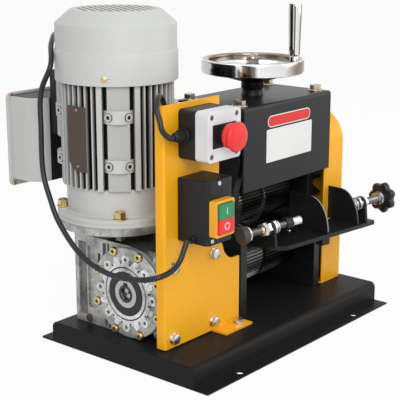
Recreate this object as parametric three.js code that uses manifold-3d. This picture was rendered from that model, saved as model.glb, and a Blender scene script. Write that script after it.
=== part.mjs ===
// A bench machine that strips scrap cable: a worm-geared motor drives two fluted rollers with a
// cutter disc between them, and a handwheel sets the height of the cutter.
// Millimetres. +Z is up, +X runs to the machine's right and +Y to its back.
// The origin is the middle of the front flange's underside.

import * as THREE from 'three';
import { mergeVertices } from 'three/addons/utils/BufferGeometryUtils.js';
import Module from 'manifold-3d';

const wasm = await Module();
wasm.setup();

// Fits
const fit = 0.3;
const snug = 0.15;
const running = 0.5;
const overrun = 2;

// Roundness of turned shapes, in sides
const bigSides = 24;
const midSides = 20;
const smallSides = 12;
const tinySides = 8;
const cornerSteps = 3;

// Base tray
const trayLength = 450;
const trayDepth = 315;
const trayHeight = 32;
const trayWall = 3;
const trayFlange = 23;
const trayShoulder = 9;
const trayHole = 4.5;
const trayHoleInset = 82;

// Hexagon bolts of the frame
const boltShank = 4;
const boltHead = 7.5;
const boltHeadHeight = 5.3;
const washerRadius = 8;
const washerHeight = 1.6;
const boltReach = 18;

// Cap screws
const capShank = 2.5;
const capHead = 4.6;
const capHeadHeight = 4;
const capReach = 8;

// Upright panel that carries the gearbox and the switches
const frameFront = 88;
const panelWall = 3;
const panelLeftReach = 59;
const panelRightReach = 54;
const panelTop = 366;
const panelLift = 2;
const panelReturn = 15;
const panelStepHeight = 98;
const panelStepGap = 4;
const panelSlope = 35;
const footLength = 60;
const footDepth = 25;
const footBoltInset = 16;
const footBoltFront = 12;

// Worm gearbox
const gearboxX = 76;
const footReach = 72;
const centreDistance = 63;
const gearboxHalf = 46;
const drumRadius = 64.7;
const boltSpanX = 85;
const boltSpanZ = 100;
const padRadius = 13;
const padDepth = 30;
const padPlate = 10;
const bayBack = 47;
const bayCorner = 10;
const bayTop = 66;
const neckBottom = 45;
const neckTop = 55;
const flangeSeat = 82;
const flangeThickness = 11;
const flangeRadius = 87;
const flangeBoltCircle = 78.5;
const cavityRadius = 54.8;
const wormBore = 23.7;
const wormBoreDrop = 46;

// Gearbox covers, seals and bearings
const coverRadius = 64.4;
const coverThickness = 6;
const coverRing = 4;
const coverRingRadius = 50;
const coverLobe = 7.5;
const coverLobeCircle = 47.5;
const coverLobes = 8;
const coverSpigot = 16;
const coverScrewCircle = 60;
const coverScrews = 8;
const sealRadius = 31;
const sealWidth = 5;
const outputRadius = 20;

// Drive shaft
const shaftRadius = 12.5;
const shaftLeftInset = 4;
const keyHalf = 4;
const keyRise = 3.3;

// Worm and wheel: single start, right hand
const wormPitchRadius = 15;
const wormRoot = 11.6;
const wormTip = 17.8;
const wormPitch = 10.053;
const wormTurns = 6;
const wormRampSteps = 4;
const wormTipHalf = 0.8;
const wormRootHalf = 2.7;
const wormJournal = 15;
const wormStepsPerTurn = 8;
const wheelTeeth = 30;
const wheelPitchRadius = 48;
const wheelTip = 50.4;
const wheelRoot = 44.4;
const wheelTipHalf = 1;
const wheelRootHalf = 2.5;
const wheelHalfWidth = 10;

// Motor
const shieldFlange = 12;
const shieldRadius = 73;
const shieldHeight = 50;
const shieldFloor = 14;
const motorBearingRadius = 23.5;
const motorBearingWidth = 14;
const motorBearingSeat = 4;
const hubRadius = 30;
const frameLength = 146;
const frameCore = 66;
const frameBore = 60;
const finRadius = 80;
const finCount = 32;
const finHalf = 1.6;
const ribRadius = 79;
const ribHalf = 15;
const padHalf = 22;
const padHeight = 18;
const padReach = 85;
const padLows = [26, 92.5];
const bossHalf = 36;
const bossReach = 84.7;
const bossLow = 55;
const bossHigh = 150;
const statorLow = 30;
const statorHeadroom = 36;
const statorBore = 35.5;
const windingInner = 38;
const windingOuter = 57;
const windingHeight = 17;
const rotorRadius = 34.5;
const rotorShaft = 12;
const bearingJournal = 10;
const inputShaft = 9.5;
const inputLength = 55;
const shieldSpigot = 6;
const upperShieldRadius = 72;
const upperShieldHeight = 10;
const lugHalf = 7;
const fanHub = 14;
const fanShaft = 8;
const fanRadius = 68;
const fanPlate = 3;
const fanLift = 24;
const fanHeight = 18;
const fanBlades = 8;
const bladeHalf = 1;
const cowlWall = 1.5;
const cowlRadius = 85;
const cowlUpperRadius = 83.5;
const cowlOverlap = 3;
const cowlStep = 41.5;
const cowlStraight = 77;
const cowlHeight = 95;
const cowlTopRadius = 62;
const cowlSlots = 11;
const cowlSlotPitch = 9.6;
const cowlSlotHalf = 2;
const cowlSlotReach = 56;
const cowlSlotTurn = 60;
const plateHalf = 16.5;
const plateLow = 27;
const plateHeight = 90;
const plateThickness = 1;
const rivetRadius = 2;

// Terminal box on the motor's back side
const boxGap = 0.3;
const boxNeckHalf = 34;
const boxFront = 100;
const boxBack = 154;
const boxHalf = 62;
const boxLow = 38;
const boxHigh = 160;
const boxCorner = 27;
const boxWall = 4;
const lidThickness = 6;
const lidHalf = 67;
const lidLow = 27;
const lidHigh = 164;
const lidCorner = 8;
const lidScrewInset = 7;
const lidScrewHead = 4.5;
const lidScrewHeight = 2;
const boxGlandX = 42;
const boxGlandY = 124;

// Cable glands
const glandFlange = 10;
const glandFlangeHeight = 5;
const glandNut = 8.6;
const glandNutHeight = 9;
const glandDome = 6.5;
const glandDomeHeight = 8;
const cableRadius = 3.7;
const cableSides = 8;

// Roller head
const headX = 282.5;
const headInnerHalf = 86.5;
const plateWidth = 15;
const headDepth = 116;
const headHeight = 295;
const throatLow = 126;
const throatStart = 133;
const throatEnd = 183;
const throatKnee = 206;
const throatHigh = 230;
const throatDepth = 16;
const throatKneeDepth = 9.7;
const headNose = 4;
const shaftSetback = 75;
const lowerAxis = 65;
const rollerSpacing = 88;
const carriageDown = 6;
const carriageUp = 7;
const blockHalf = 26;
const blockBore = 18;
const topThickness = 12;
const topFront = 5;
const coverSheet = 3;
const coverOverhang = 6.5;
const coverFront = 8.5;
const coverBend = 5;
const coverFlapLow = 190;
const topBoltFront = 11;
const topBoltBack = 102;
const footScrewFront = 24;
const footScrewBack = 92;
const tieThickness = 12;
const tieHeight = 28;
const tieScrewLift = 14;

// Rollers, cutter and gears
const rollerRadius = 43;
const rollerHalf = 84.5;
const fluteCount = 28;
const fluteDepth = 2.4;
const grooveHalf = 3.5;
const grooveDepth = 6;
const upperRadius = 38;
const upperHalf = 72.5;
const upperFlutes = 24;
const bladeShaft = 10;
const cutterRadius = 42;
const cutterHalf = 1;
const cutterBevel = 5;
const gearTeeth = 12;
const gearTip = 49.5;
const gearRoot = 31.5;
const gearTipHalf = 1.6;
const gearRootHalf = 5;
const gearInset = 14;
const gearWidth = 24;
const shaftRightReach = 41;

// Carriage
const armThickness = 10.8;
const armHalf = 13;
const armDrop = 14;
const beamFront = 42;
const beamLow = 200;
const beamHigh = 220;
const nutRadius = 14;
const nutOverhang = 3;

// Spindle and handwheel
const spindleSetback = 60;
const spindleRadius = 8;
const spindleLow = 203;
const spindleCollar = 12;
const spindleCollarHeight = 9.7;
const bushRadius = 12;
const bushTop = 15.4;
const bushFoot = 16.4;
const bushRise = 10;
const wheelRadius = 76;
const wheelRimWidth = 11;
const wheelRimLow = 23.7;
const wheelRimHeight = 20;
const wheelHub = 14;
const wheelHubRise = 14;
const wheelHubTop = 12;
const wheelHubHeight = 33;
const wheelWeb = 5;
const wheelWasher = 12.6;
const wheelWasherHeight = 2;
const wheelNut = 9.4;
const wheelNutHeight = 15;
const gripCircle = 61;
const gripTurn = -54.5;
const gripRadius = 8.5;
const gripNeck = 6.5;
const gripHeight = 78;
const gripPin = 4;
const gripPinFlange = 7;
const gripPinFlangeHeight = 3;
const gripPinRise = 55;
const gripSwellShare = 0.75;
const gripCrownShare = 0.93;
const gripTipShare = 0.6;
const nutShoulderShare = 0.8;
const nutCrownShare = 0.7;

// Gear guard
const guardGap = 3;
const guardWidth = 51;
const guardFront = 3;
const guardDepth = 152;
const guardHeight = 274;
const guardCorner = 50;
const guardWall = 2.5;
const guardFoot = 16;

// Wire guide table, turned on its bar
const tableX = 320;
const tableY = 50.7;
const tableTurn = -7;
const tableTop = 139;
const tableThickness = 6;
const tableLeft = 105;
const tableRight = 116;
const tableFront = 19;
const tableBack = 36;
const tableTongueLeft = 95;
const tableTongueRight = 38;
const tableTongueBack = 62;
const tableCorner = 26;
const tableRightCorner = 4;
const finThickness = 3;
const finFront = 18;
const finReach = 35;
const finHeight = 52;
const finFlat = 43;
const rightFinFlat = 25;
const middleFinAt = 2.5;
const rightFinAt = 72.5;
const blockUnderWidth = 15;
const blockUnderDepth = 14;
const blockUnderHeight = 9;
const rodRise = 27;
const rodRadius = 6;
const earThickness = 5;
const earHalf = 11;
const earFootHalf = 14;
const leftEarAt = -107;
const rightEarAt = 98.2;
const nutCorner = 10.2;
const nutHeight = 7;
const leftRodEnd = -42;
const leftKnobAt = -165;
const leftKnobLength = 14;
const leftKnobRadius = 12.2;
const leftSleeveAt = -75.5;
const leftSleeveLength = 14;
const leftSleeveRadius = 9.5;
const leftTipRadius = 7.4;
const leftTipLength = 17;
const starAt = 150;
const starThickness = 11;
const starRadius = 24.8;
const starLobes = 7;
const starLobe = 6;
const starHub = 10;
const starHubLength = 8;
const barLeft = 17.5;
const barFront = 2;
const barDepth = 20;
const barHeight = 20.7;

// Emergency stop box
const stopX = 79;
const stopZ = 326;
const stopHalfX = 34;
const stopHalfZ = 33;
const stopBaseDepth = 29;
const stopLidDepth = 21;
const stopCorner = 6;
const stopWall = 3;
const stopScrewHalf = 25.5;
const stopScrewHead = 3.4;
const stopScrewHeight = 1.2;
const stopInsertX = 24;
const stopInsertZ = 15.5;
const stopInsertThickness = 1;
const stopCollar = 13;
const stopCollarHeight = 5;
const stopStem = 8;
const stopStemBack = 35;
const stopCapRadius = 20;
const stopCapBack = 63;
const stopCapFront = 76;
const stopCapNeck = 11;
const capFaceShare = 0.86;
const stopGlandSetback = 12;

// Start and stop switch box
const switchX = 70;
const switchZ = 226;
const switchHalfX = 27;
const switchHalfZ = 43;
const switchDepth = 52;
const switchCorner = 8;
const switchWall = 3;
const frameLeft = -25;
const frameRight = 14;
const frameLow = -30;
const frameHigh = 19;
const frameDepth = 12;
const frameRim = 4;
const frameRecess = 10;
const keyProud = 3;
const keyBack = 3.3;
const keyGap = 0.4;
const switchOutletSetback = 26;
const switchOutletDrop = 37;
const switchOutletRadius = 5.2;
const switchOutletLength = 4;
const grommetRadius = 7;
const grommetRise = 5;

// Levels and axes that follow from the sizes above
const panelBack = frameFront + panelWall;
const gearboxY = panelBack + footReach;
const outputZ = trayHeight + fit + drumRadius;
const flangeTop = flangeSeat + flangeThickness;
const sleeveHalf = gearboxHalf + coverThickness + coverRing;
const plateOuter = headInnerHalf + plateWidth;
const upperAxis = lowerAxis + rollerSpacing;
const frameTop = shieldHeight + frameLength;
const headTop = headHeight + topThickness;
const coverTop = headTop + coverSheet;
const wormShoulder = (wormTurns * wormPitch) / 2;

// Finishes
const yellowPaint = { color: 0xf5a32a, roughness: 0.38, metalness: 0 };
const blackPaint = { color: 0x1d1d1f, roughness: 0.3, metalness: 0 };
const motorGrey = { color: 0xb9bbb8, roughness: 0.5, metalness: 0.1 };
const castGrey = { color: 0xa9aba8, roughness: 0.45, metalness: 0.5 };
const chrome = { color: 0xdfe2e4, roughness: 0.08, metalness: 1 };
const zinc = { color: 0xc9ccd0, roughness: 0.3, metalness: 1 };
const steel = { color: 0x9a9c9e, roughness: 0.35, metalness: 1 };
const darkSteel = { color: 0x4c4c4e, roughness: 0.4, metalness: 1 };
const blackPlastic = { color: 0x202022, roughness: 0.45, metalness: 0 };
const paleGrey = { color: 0xdfe1e2, roughness: 0.4, metalness: 0 };
const redPlastic = { color: 0xd92b2b, roughness: 0.3, metalness: 0 };
const greenPlastic = { color: 0x2f7d55, roughness: 0.35, metalness: 0 };
const blackRubber = { color: 0x18181a, roughness: 0.7, metalness: 0 };
const copper = { color: 0xb0622d, roughness: 0.4, metalness: 1 };
const bronze = { color: 0xb08a44, roughness: 0.35, metalness: 1 };
const brownPlate = { color: 0x6b4a3a, roughness: 0.5, metalness: 0.3 };

// A closed three.js geometry as a solid
function toSolid(geometry) {
  geometry.deleteAttribute('normal');
  geometry.deleteAttribute('uv');
  const merged = mergeVertices(geometry);
  const corners = [];
  for (let i = 0; i < merged.index.count; i += 3) {
    const [a, b, c] = [0, 1, 2].map((k) => merged.index.getX(i + k));
    if (a !== b && b !== c && c !== a) corners.push(a, b, c);
  }
  const vertProperties = new Float32Array(merged.attributes.position.array);
  const triVerts = new Uint32Array(corners);
  return new wasm.Manifold(new wasm.Mesh({ numProp: 3, vertProperties, triVerts }));
}

// A solid as a three.js geometry
function toGeometry(solid) {
  const mesh = solid.getMesh();
  const geometry = new THREE.BufferGeometry();
  geometry.setAttribute('position', new THREE.BufferAttribute(mesh.vertProperties, 3));
  geometry.setIndex(new THREE.BufferAttribute(mesh.triVerts, 1));
  geometry.computeVertexNormals();
  return geometry;
}

// Joins and cuts
const join = (...solids) => solids.reduce((whole, solid) => whole.add(solid));
const cut = (solid, ...tools) => tools.reduce((rest, tool) => rest.subtract(tool), solid);

// Box between two corners
function block(x0, x1, y0, y1, z0, z1) {
  const geometry = new THREE.BoxGeometry(x1 - x0, y1 - y0, z1 - z0);
  geometry.translate((x0 + x1) / 2, (y0 + y1) / 2, (z0 + z1) / 2);
  return toSolid(geometry);
}

// Round bars along each axis, the far end's radius last
function barZ(radius, z0, z1, sides, x = 0, y = 0, far = radius) {
  const geometry = new THREE.CylinderGeometry(far, radius, z1 - z0, sides);
  geometry.rotateX(Math.PI / 2);
  geometry.translate(x, y, (z0 + z1) / 2);
  return toSolid(geometry);
}

function barX(radius, x0, x1, sides, y = 0, z = 0, far = radius) {
  const geometry = new THREE.CylinderGeometry(far, radius, x1 - x0, sides);
  geometry.rotateX(Math.PI / 2);
  geometry.rotateY(Math.PI / 2);
  geometry.translate((x0 + x1) / 2, y, z);
  return toSolid(geometry);
}

function barY(radius, y0, y1, sides, x = 0, z = 0, far = radius) {
  const geometry = new THREE.CylinderGeometry(far, radius, y1 - y0, sides);
  geometry.translate(x, (y0 + y1) / 2, z);
  return toSolid(geometry);
}

// Rings along each axis
const ringZ = (outer, inner, z0, z1, sides, x = 0, y = 0) =>
  cut(barZ(outer, z0, z1, sides, x, y), barZ(inner, z0 - overrun, z1 + overrun, sides, x, y));
const ringX = (outer, inner, x0, x1, sides, y = 0, z = 0) =>
  cut(barX(outer, x0, x1, sides, y, z), barX(inner, x0 - overrun, x1 + overrun, sides, y, z));

// A profile of [radius, height] pairs turned about Z
function turned(profile, sides) {
  const points = profile.map(([radius, height]) => new THREE.Vector2(radius, height));
  const geometry = new THREE.LatheGeometry(points, sides);
  geometry.rotateX(Math.PI / 2);
  return toSolid(geometry);
}

// A flat outline of [u, v] pairs or a ready shape
const outline = (points) => new THREE.Shape(points.map(([u, v]) => new THREE.Vector2(u, v)));

// Rectangle with a radius at each corner: low left, low right, high right, high left
function roundedBox(u0, u1, v0, v1, [a, b, c, d]) {
  const shape = new THREE.Shape();
  const quarter = Math.PI / 2;
  shape.moveTo(u0 + a, v0);
  shape.lineTo(u1 - b, v0);
  if (b > 0) shape.absarc(u1 - b, v0 + b, b, -quarter, 0);
  shape.lineTo(u1, v1 - c);
  if (c > 0) shape.absarc(u1 - c, v1 - c, c, 0, quarter);
  shape.lineTo(u0 + d, v1);
  if (d > 0) shape.absarc(u0 + d, v1 - d, d, quarter, 2 * quarter);
  shape.lineTo(u0, v0 + a);
  if (a > 0) shape.absarc(u0 + a, v0 + a, a, 2 * quarter, 3 * quarter);
  return shape;
}
const evenBox = (u0, u1, v0, v1, radius) => roundedBox(u0, u1, v0, v1, [radius, radius, radius, radius]);

// Outlines drawn out along an axis
const drawn = (shape, depth) =>
  new THREE.ExtrudeGeometry(shape, { depth, bevelEnabled: false, curveSegments: cornerSteps });

function alongZ(shape, z0, z1) {
  return toSolid(drawn(shape, z1 - z0).translate(0, 0, z0));
}

// The outline's u, v are Y and Z
function alongX(shape, x0, x1) {
  const turn = new THREE.Matrix4().makeBasis(axis(0, 1, 0), axis(0, 0, 1), axis(1, 0, 0));
  return toSolid(drawn(shape, x1 - x0).applyMatrix4(turn).translate(x0, 0, 0));
}

// The outline's u, v are X and Z
function alongY(shape, y0, y1) {
  const turn = new THREE.Matrix4().makeBasis(axis(1, 0, 0), axis(0, 0, 1), axis(0, -1, 0));
  return toSolid(drawn(shape, y1 - y0).applyMatrix4(turn).translate(0, y1, 0));
}

function axis(x, y, z) {
  return new THREE.Vector3(x, y, z);
}

// A few primitive geometries, drawn about +Z, seated at a place and pointed along a direction
function seated(geometries, [x, y, z], direction) {
  const turn = new THREE.Quaternion().setFromUnitVectors(axis(0, 0, 1), direction);
  const matrix = new THREE.Matrix4().compose(axis(x, y, z), turn, axis(1, 1, 1));
  return join(...geometries.map((geometry) => toSolid(geometry.clone().applyMatrix4(matrix))));
}

function postGeometry(radius, z0, z1, sides, far = radius) {
  const geometry = new THREE.CylinderGeometry(far, radius, z1 - z0, sides);
  return geometry.rotateX(Math.PI / 2).translate(0, 0, (z0 + z1) / 2);
}

// Hexagon bolt with its washer, seated on z = 0
const hexBolt = (reach) => [
  postGeometry(washerRadius, 0, washerHeight, smallSides),
  postGeometry(boltHead, washerHeight, washerHeight + boltHeadHeight, 6),
  postGeometry(boltShank, -reach, washerHeight, tinySides),
];

const boltHole = (reach) => [postGeometry(boltShank + fit, -reach - fit, overrun, tinySides)];

// Head of a small screw that is in one with what it holds
const screwHead = (place, direction, radius = capHead, height = capHeadHeight) =>
  seated([postGeometry(radius, -snug, height, tinySides)], place, direction);

// Cap screw, seated on z = 0
const capScrew = (place, direction, reach) => seated([
  postGeometry(capHead, 0, capHeadHeight, smallSides),
  postGeometry(capShank, -reach, capHeadHeight / 2, tinySides),
], place, direction);

const capHole = (place, direction, reach) =>
  seated([postGeometry(capShank + fit, -reach - fit, overrun, tinySides)], place, direction);

// Cable gland: flange, hexagon nut and dome
const glandLength = glandFlangeHeight + glandNutHeight + glandDomeHeight;
const gland = (place, direction) => seated([
  postGeometry(glandFlange, -snug, glandFlangeHeight, smallSides),
  postGeometry(glandNut, glandFlangeHeight / 2, glandFlangeHeight + glandNutHeight, 6),
  postGeometry(glandDome, glandFlangeHeight, glandLength, smallSides, glandDome - fit),
], place, direction);

// Places round a circle as [cos, sin] pairs
const around = (count, start = 0) => Array.from({ length: count }, (unused, i) => {
  const angle = start + (2 * Math.PI * i) / count;
  return [Math.cos(angle), Math.sin(angle), angle];
});

const degrees = THREE.MathUtils.degToRad;
const up = axis(0, 0, 1);
const down = axis(0, 0, -1);
const front = axis(0, -1, 0);
const left = axis(-1, 0, 0);
const right = axis(1, 0, 0);

// Straight-flanked teeth round a circle
function toothed(teeth, tip, root, tipHalf, rootHalf, start) {
  const points = [];
  around(teeth, start).forEach(([, , angle]) => {
    [[root, -rootHalf], [tip, -tipHalf], [tip, tipHalf], [root, rootHalf]].forEach(([radius, side]) => {
      const at = angle + side / radius;
      points.push([radius * Math.cos(at), radius * Math.sin(at)]);
    });
  });
  return outline(points);
}

// V-shaped flutes round a circle
function fluted(count, radius, depth) {
  const points = [];
  const step = (2 * Math.PI) / count;
  around(count).forEach(([, , angle]) => {
    const shares = [[radius, 0], [radius - depth, 0.5]];
    shares.forEach(([reach, share]) => {
      const at = angle + share * step;
      points.push([reach * Math.cos(at), reach * Math.sin(at)]);
    });
  });
  return outline(points);
}

// Adds one named piece to a group
function add(group, name, solid, finish, place = [0, 0, 0]) {
  const mesh = new THREE.Mesh(toGeometry(solid), new THREE.MeshStandardMaterial(finish));
  mesh.name = name;
  mesh.position.set(...place);
  group.add(mesh);
  return mesh;
}

function groupAt(parent, x, y, z) {
  const group = new THREE.Group();
  group.position.set(x, y, z);
  parent.add(group);
  return group;
}

// Base tray: bent sheet with a flange front and back, ends closed
function trayProfile(inset, low) {
  const wide = trayFlange + inset;
  const bend = trayShoulder - inset;
  const high = trayHeight - inset;
  const far = trayDepth - wide;
  const shape = new THREE.Shape();
  shape.moveTo(wide, low);
  shape.lineTo(far, low);
  shape.lineTo(far, high - bend);
  shape.absarc(far - bend, high - bend, bend, 0, Math.PI / 2);
  shape.lineTo(wide + bend, high);
  shape.absarc(wide + bend, high - bend, bend, Math.PI / 2, Math.PI);
  return shape;
}

function trayHoles() {
  const places = [];
  for (const x of [trayHoleInset, trayLength - trayHoleInset]) {
    for (const y of [trayFlange / 2, trayDepth - trayFlange / 2]) places.push([x, y]);
  }
  return places.map(([x, y]) => barZ(trayHole, -overrun, trayWall + overrun, smallSides, x, y));
}

// Tray with the bolts that come up through it from below
function baseTray(borePlaces, boltPlaces) {
  const hull = alongX(trayProfile(0, 0), 0, trayLength);
  const flanges = block(0, trayLength, 0, trayDepth, 0, trayWall);
  const hollow = alongX(trayProfile(trayWall, -overrun), trayWall, trayLength - trayWall);
  const bores = borePlaces.map(([x, y]) =>
    barZ(boltShank + fit, trayHeight - trayWall - overrun, trayHeight + overrun, tinySides, x, y));
  const bolts = boltPlaces.map(([x, y]) =>
    seated(hexBolt(trayWall + boltReach), [x, y, trayHeight - trayWall + snug], down));
  return join(cut(join(hull, flanges), hollow, ...trayHoles(), ...bores), ...bolts);
}

// Upright panel with its side return and its foot, in tray coordinates
const panelLeft = gearboxX - panelLeftReach;
const panelRight = gearboxX + panelRightReach;
const panelFootRight = headX - headInnerHalf - plateWidth - panelStepGap;
const footBolt = [panelFootRight - footBoltInset, frameFront - footBoltFront];
const gearboxBolts = [-1, 1].flatMap((i) => [-1, 1].map((k) => [
  gearboxX + (i * boltSpanX) / 2,
  outputZ + (k * boltSpanZ) / 2,
]));

const panelCutShares = [0.4, 0.23, 0.74];

function panelFace() {
  const stepTop = trayHeight + panelStepHeight;
  const low = trayHeight + panelLift;
  return outline([
    [panelLeft, low],
    [panelFootRight - footLength, low],
    [panelFootRight - footLength, trayHeight],
    [panelFootRight, trayHeight],
    [panelFootRight, stepTop],
    [panelFootRight - panelCutShares[0] * panelSlope, stepTop],
    [panelRight + panelCutShares[1] * panelSlope, stepTop + panelCutShares[2] * panelSlope],
    [panelRight, stepTop + panelSlope],
    [panelRight, panelTop],
    [panelLeft, panelTop],
  ]);
}

function drivePanel() {
  const face = alongY(panelFace(), frameFront, panelBack);
  const sideLow = trayHeight + panelLift;
  const side = block(panelLeft, panelLeft + panelWall, frameFront, frameFront + panelReturn, sideLow, panelTop);
  const footLeft = panelFootRight - footLength;
  const footTop = trayHeight + panelWall;
  const foot = block(footLeft, panelFootRight, frameFront - footDepth, panelBack, trayHeight, footTop);
  const bores = gearboxBolts.map(([x, z]) =>
    barY(boltShank + fit, frameFront - overrun, panelBack + overrun, tinySides, x, z));
  const footTopPlace = [...footBolt, footTop - snug];
  const footScrew = seated(hexBolt(panelWall + trayWall + overrun), footTopPlace, up);
  return join(cut(join(face, side, foot), ...bores), footScrew, panelGrommet());
}

// Grommet on the back of the panel, where the stop box's cable goes through it
const grommetPlace = [switchX, switchZ];
function panelGrommet() {
  const [x, z] = grommetPlace;
  const collar = grommetRadius + panelWall;
  return join(
    barY(grommetRadius, frameFront + panelWall / 2, panelBack + grommetRise, smallSides, x, z),
    barY(collar, frameFront + panelWall / 2, panelBack + grommetRise / 2, smallSides, x, z),
  );
}

const machine = new THREE.Group();
machine.name = 'wire_stripping_machine';
machine.position.set(-trayLength / 2, -trayFlange / 2, 0);

const footScrewPlaces = [-1, 1].flatMap((i) => [footScrewFront, footScrewBack].map((y) => [
  headX + i * (headInnerHalf + plateWidth / 2),
  frameFront + y,
]));
const guardScrewX = headX + plateOuter + guardGap + guardWidth / 2;
const guardFootYs = [
  frameFront - guardFront + guardWall + guardFoot / 2,
  frameFront - guardFront + guardDepth - guardWall - guardFoot / 2,
];
const guardScrewPlaces = guardFootYs.map((y) => [guardScrewX, y]);

const frame = groupAt(machine, 0, 0, 0);
add(frame, 'base_tray', baseTray([footBolt, ...guardScrewPlaces], footScrewPlaces), blackPaint);
add(frame, 'drive_panel', drivePanel(), yellowPaint);
gearboxBolts.forEach(([x, z], i) => {
  const bolt = seated(hexBolt(panelWall + boltReach), [x, frameFront, z], front);
  add(frame, `gearbox_bolt_${i + 1}`, bolt, zinc);
});

// Drive unit, about the middle of the output axis
const drivePlace = [gearboxX, gearboxY, outputZ];
const drive = groupAt(machine, ...drivePlace);
const diagonals = around(4, Math.PI / 4);

function gearboxHousing() {
  const drum = barX(drumRadius, -gearboxHalf, gearboxHalf, bigSides);
  const bayY = centreDistance + bayBack;
  const bay = alongZ(
    roundedBox(-gearboxHalf, gearboxHalf, 0, bayY, [0, 0, bayCorner, bayCorner]),
    -drumRadius,
    bayTop,
  );
  const seat = fit - footReach;
  const plate = block(-gearboxHalf, gearboxHalf, seat, seat + padPlate, -drumRadius, bayTop);
  const pads = [-1, 1].flatMap((i) => [-1, 1].map((k) =>
    barY(padRadius, seat, seat + padDepth, smallSides, (i * boltSpanX) / 2, (k * boltSpanZ) / 2)));
  const web = block(-gearboxHalf, gearboxHalf, seat, overrun, -drumRadius / 2, bayTop);
  const neck = barZ(neckBottom, bayTop - overrun, flangeSeat, bigSides, 0, centreDistance, neckTop);
  const flange = barZ(flangeRadius, flangeSeat, flangeTop, bigSides, 0, centreDistance);
  const body = join(drum, bay, plate, web, ...pads, neck, flange);
  const limit = block(-gearboxHalf, gearboxHalf, seat, 2 * flangeRadius, -drumRadius, bayTop);
  return join(body.intersect(limit), neck, flange);
}

function gearboxCuts() {
  const reach = gearboxHalf + overrun;
  const cavity = barX(cavityRadius, -reach, reach, bigSides);
  const wide = barZ(wormBore, -wormShoulder - running, wormShoulder + running, midSides, 0, centreDistance);
  const narrow = barZ(wormJournal + running, -wormBoreDrop, flangeTop + overrun, midSides, 0, centreDistance);
  const feet = gearboxBolts.map(([x, z]) =>
    seated(boltHole(boltReach + overrun), [x - gearboxX, -footReach, z - outputZ], front));
  const flanges = diagonals.map(([c, s]) => barZ(
    boltShank + fit,
    flangeSeat - overrun,
    flangeTop + overrun,
    tinySides,
    flangeBoltCircle * c,
    centreDistance + flangeBoltCircle * s,
  ));
  return [cavity, wide, narrow, ...feet, ...flanges];
}

// The screws of one cover, on the side given by its sign
const coverScrewPlaces = around(coverScrews, Math.PI / coverScrews).map(([c, s]) => [
  -gearboxHalf - coverThickness,
  coverScrewCircle * c,
  coverScrewCircle * s,
]);
const sideways = (side) => (side < 0 ? left : right);

// Cover for the left side with its bearing and screws; the right one is the same piece turned round
// and holds its seal as well
function gearboxCover(sealBore) {
  const inner = -gearboxHalf;
  const outer = inner - coverThickness;
  const face = outer - coverRing;
  const disc = barX(coverRadius, outer, inner, bigSides);
  const ring = barX(coverRingRadius, face, inner, midSides);
  const lobes = around(coverLobes).map(([c, s]) =>
    barX(coverLobe, face, inner, tinySides, coverLobeCircle * c, coverLobeCircle * s));
  const spigot = barX(cavityRadius - snug, inner - overrun, inner + coverSpigot, bigSides);
  const bore = barX(outputRadius + running, face - overrun, inner + coverSpigot + overrun, midSides);
  const seat = barX(sealBore, face - overrun, face + sealWidth + snug, midSides);
  const screws = coverScrewPlaces.map((place) => screwHead(place, left));
  return join(cut(join(disc, ring, spigot, ...lobes), seat, bore), ...screws);
}

add(drive, 'gearbox_housing', cut(gearboxHousing(), ...gearboxCuts()), castGrey);
add(drive, 'gearbox_cover_left', gearboxCover(sealRadius + snug), castGrey);
add(drive, 'gearbox_cover_right', gearboxCover(outputRadius + running), castGrey).rotation.z = Math.PI;

const sealFace = sleeveHalf - snug;
const seal = ringX(sealRadius, outputRadius + running, -sealFace, sealWidth - sealFace, midSides);
add(drive, 'oil_seal', seal, blackRubber);

// Hollow output shaft with a keyway, in one with the worm wheel on it
const keyTop = shaftRadius + keyRise;
const keyway = (reach, clearance) =>
  block(-reach, reach, -keyHalf - clearance, keyHalf + clearance, 0, keyTop + clearance);
const outputSleeve = cut(
  ringX(outputRadius, shaftRadius + snug, -sleeveHalf, sleeveHalf, midSides),
  keyway(sleeveHalf + overrun, snug),
);

function wormWheel() {
  const start = Math.PI / wheelTeeth;
  const teeth = toothed(wheelTeeth, wheelTip, wheelRoot, wheelTipHalf, wheelRootHalf, start);
  const depth = 2 * wheelHalfWidth;
  const geometry = new THREE.ExtrudeGeometry(teeth, { depth, bevelEnabled: false });
  const turn = new THREE.Matrix4().makeBasis(axis(0, 1, 0), axis(0, 0, 1), axis(1, 0, 0));
  geometry.applyMatrix4(turn).translate(-wheelHalfWidth, 0, 0);
  const lead = wormPitch / (2 * Math.PI * wormPitchRadius * wheelPitchRadius);
  const points = geometry.attributes.position;
  for (let i = 0; i < points.count; i += 1) {
    const at = points.getX(i) * lead;
    const [y, z] = [points.getY(i), points.getZ(i)];
    points.setY(i, y * Math.cos(at) - z * Math.sin(at));
    points.setZ(i, y * Math.sin(at) + z * Math.cos(at));
  }
  const reach = wheelHalfWidth + overrun;
  return cut(toSolid(geometry), barX(outputRadius - snug, -reach, reach, midSides));
}
add(drive, 'worm_wheel', join(wormWheel(), outputSleeve), bronze);

// Worm: a thread that rises from a round core and dies away at both ends, between two journals
const wormLow = -wormBoreDrop + running;
const wormHigh = flangeTop - running;

// The worm's section square to its axis, as [angle, share of the thread's height] pairs
function wormSection() {
  const tip = (2 * Math.PI * wormTipHalf) / wormPitch;
  const root = (2 * Math.PI * wormRootHalf) / wormPitch;
  const half = [[tip, 1], [(tip + root) / 2, 0.5], [root, 0], [(root + Math.PI) / 2, 0]];
  const mirrored = half.map(([angle, share]) => [-angle, share]).reverse();
  return [[0, 1], ...half, [Math.PI, 0], ...mirrored];
}

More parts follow.
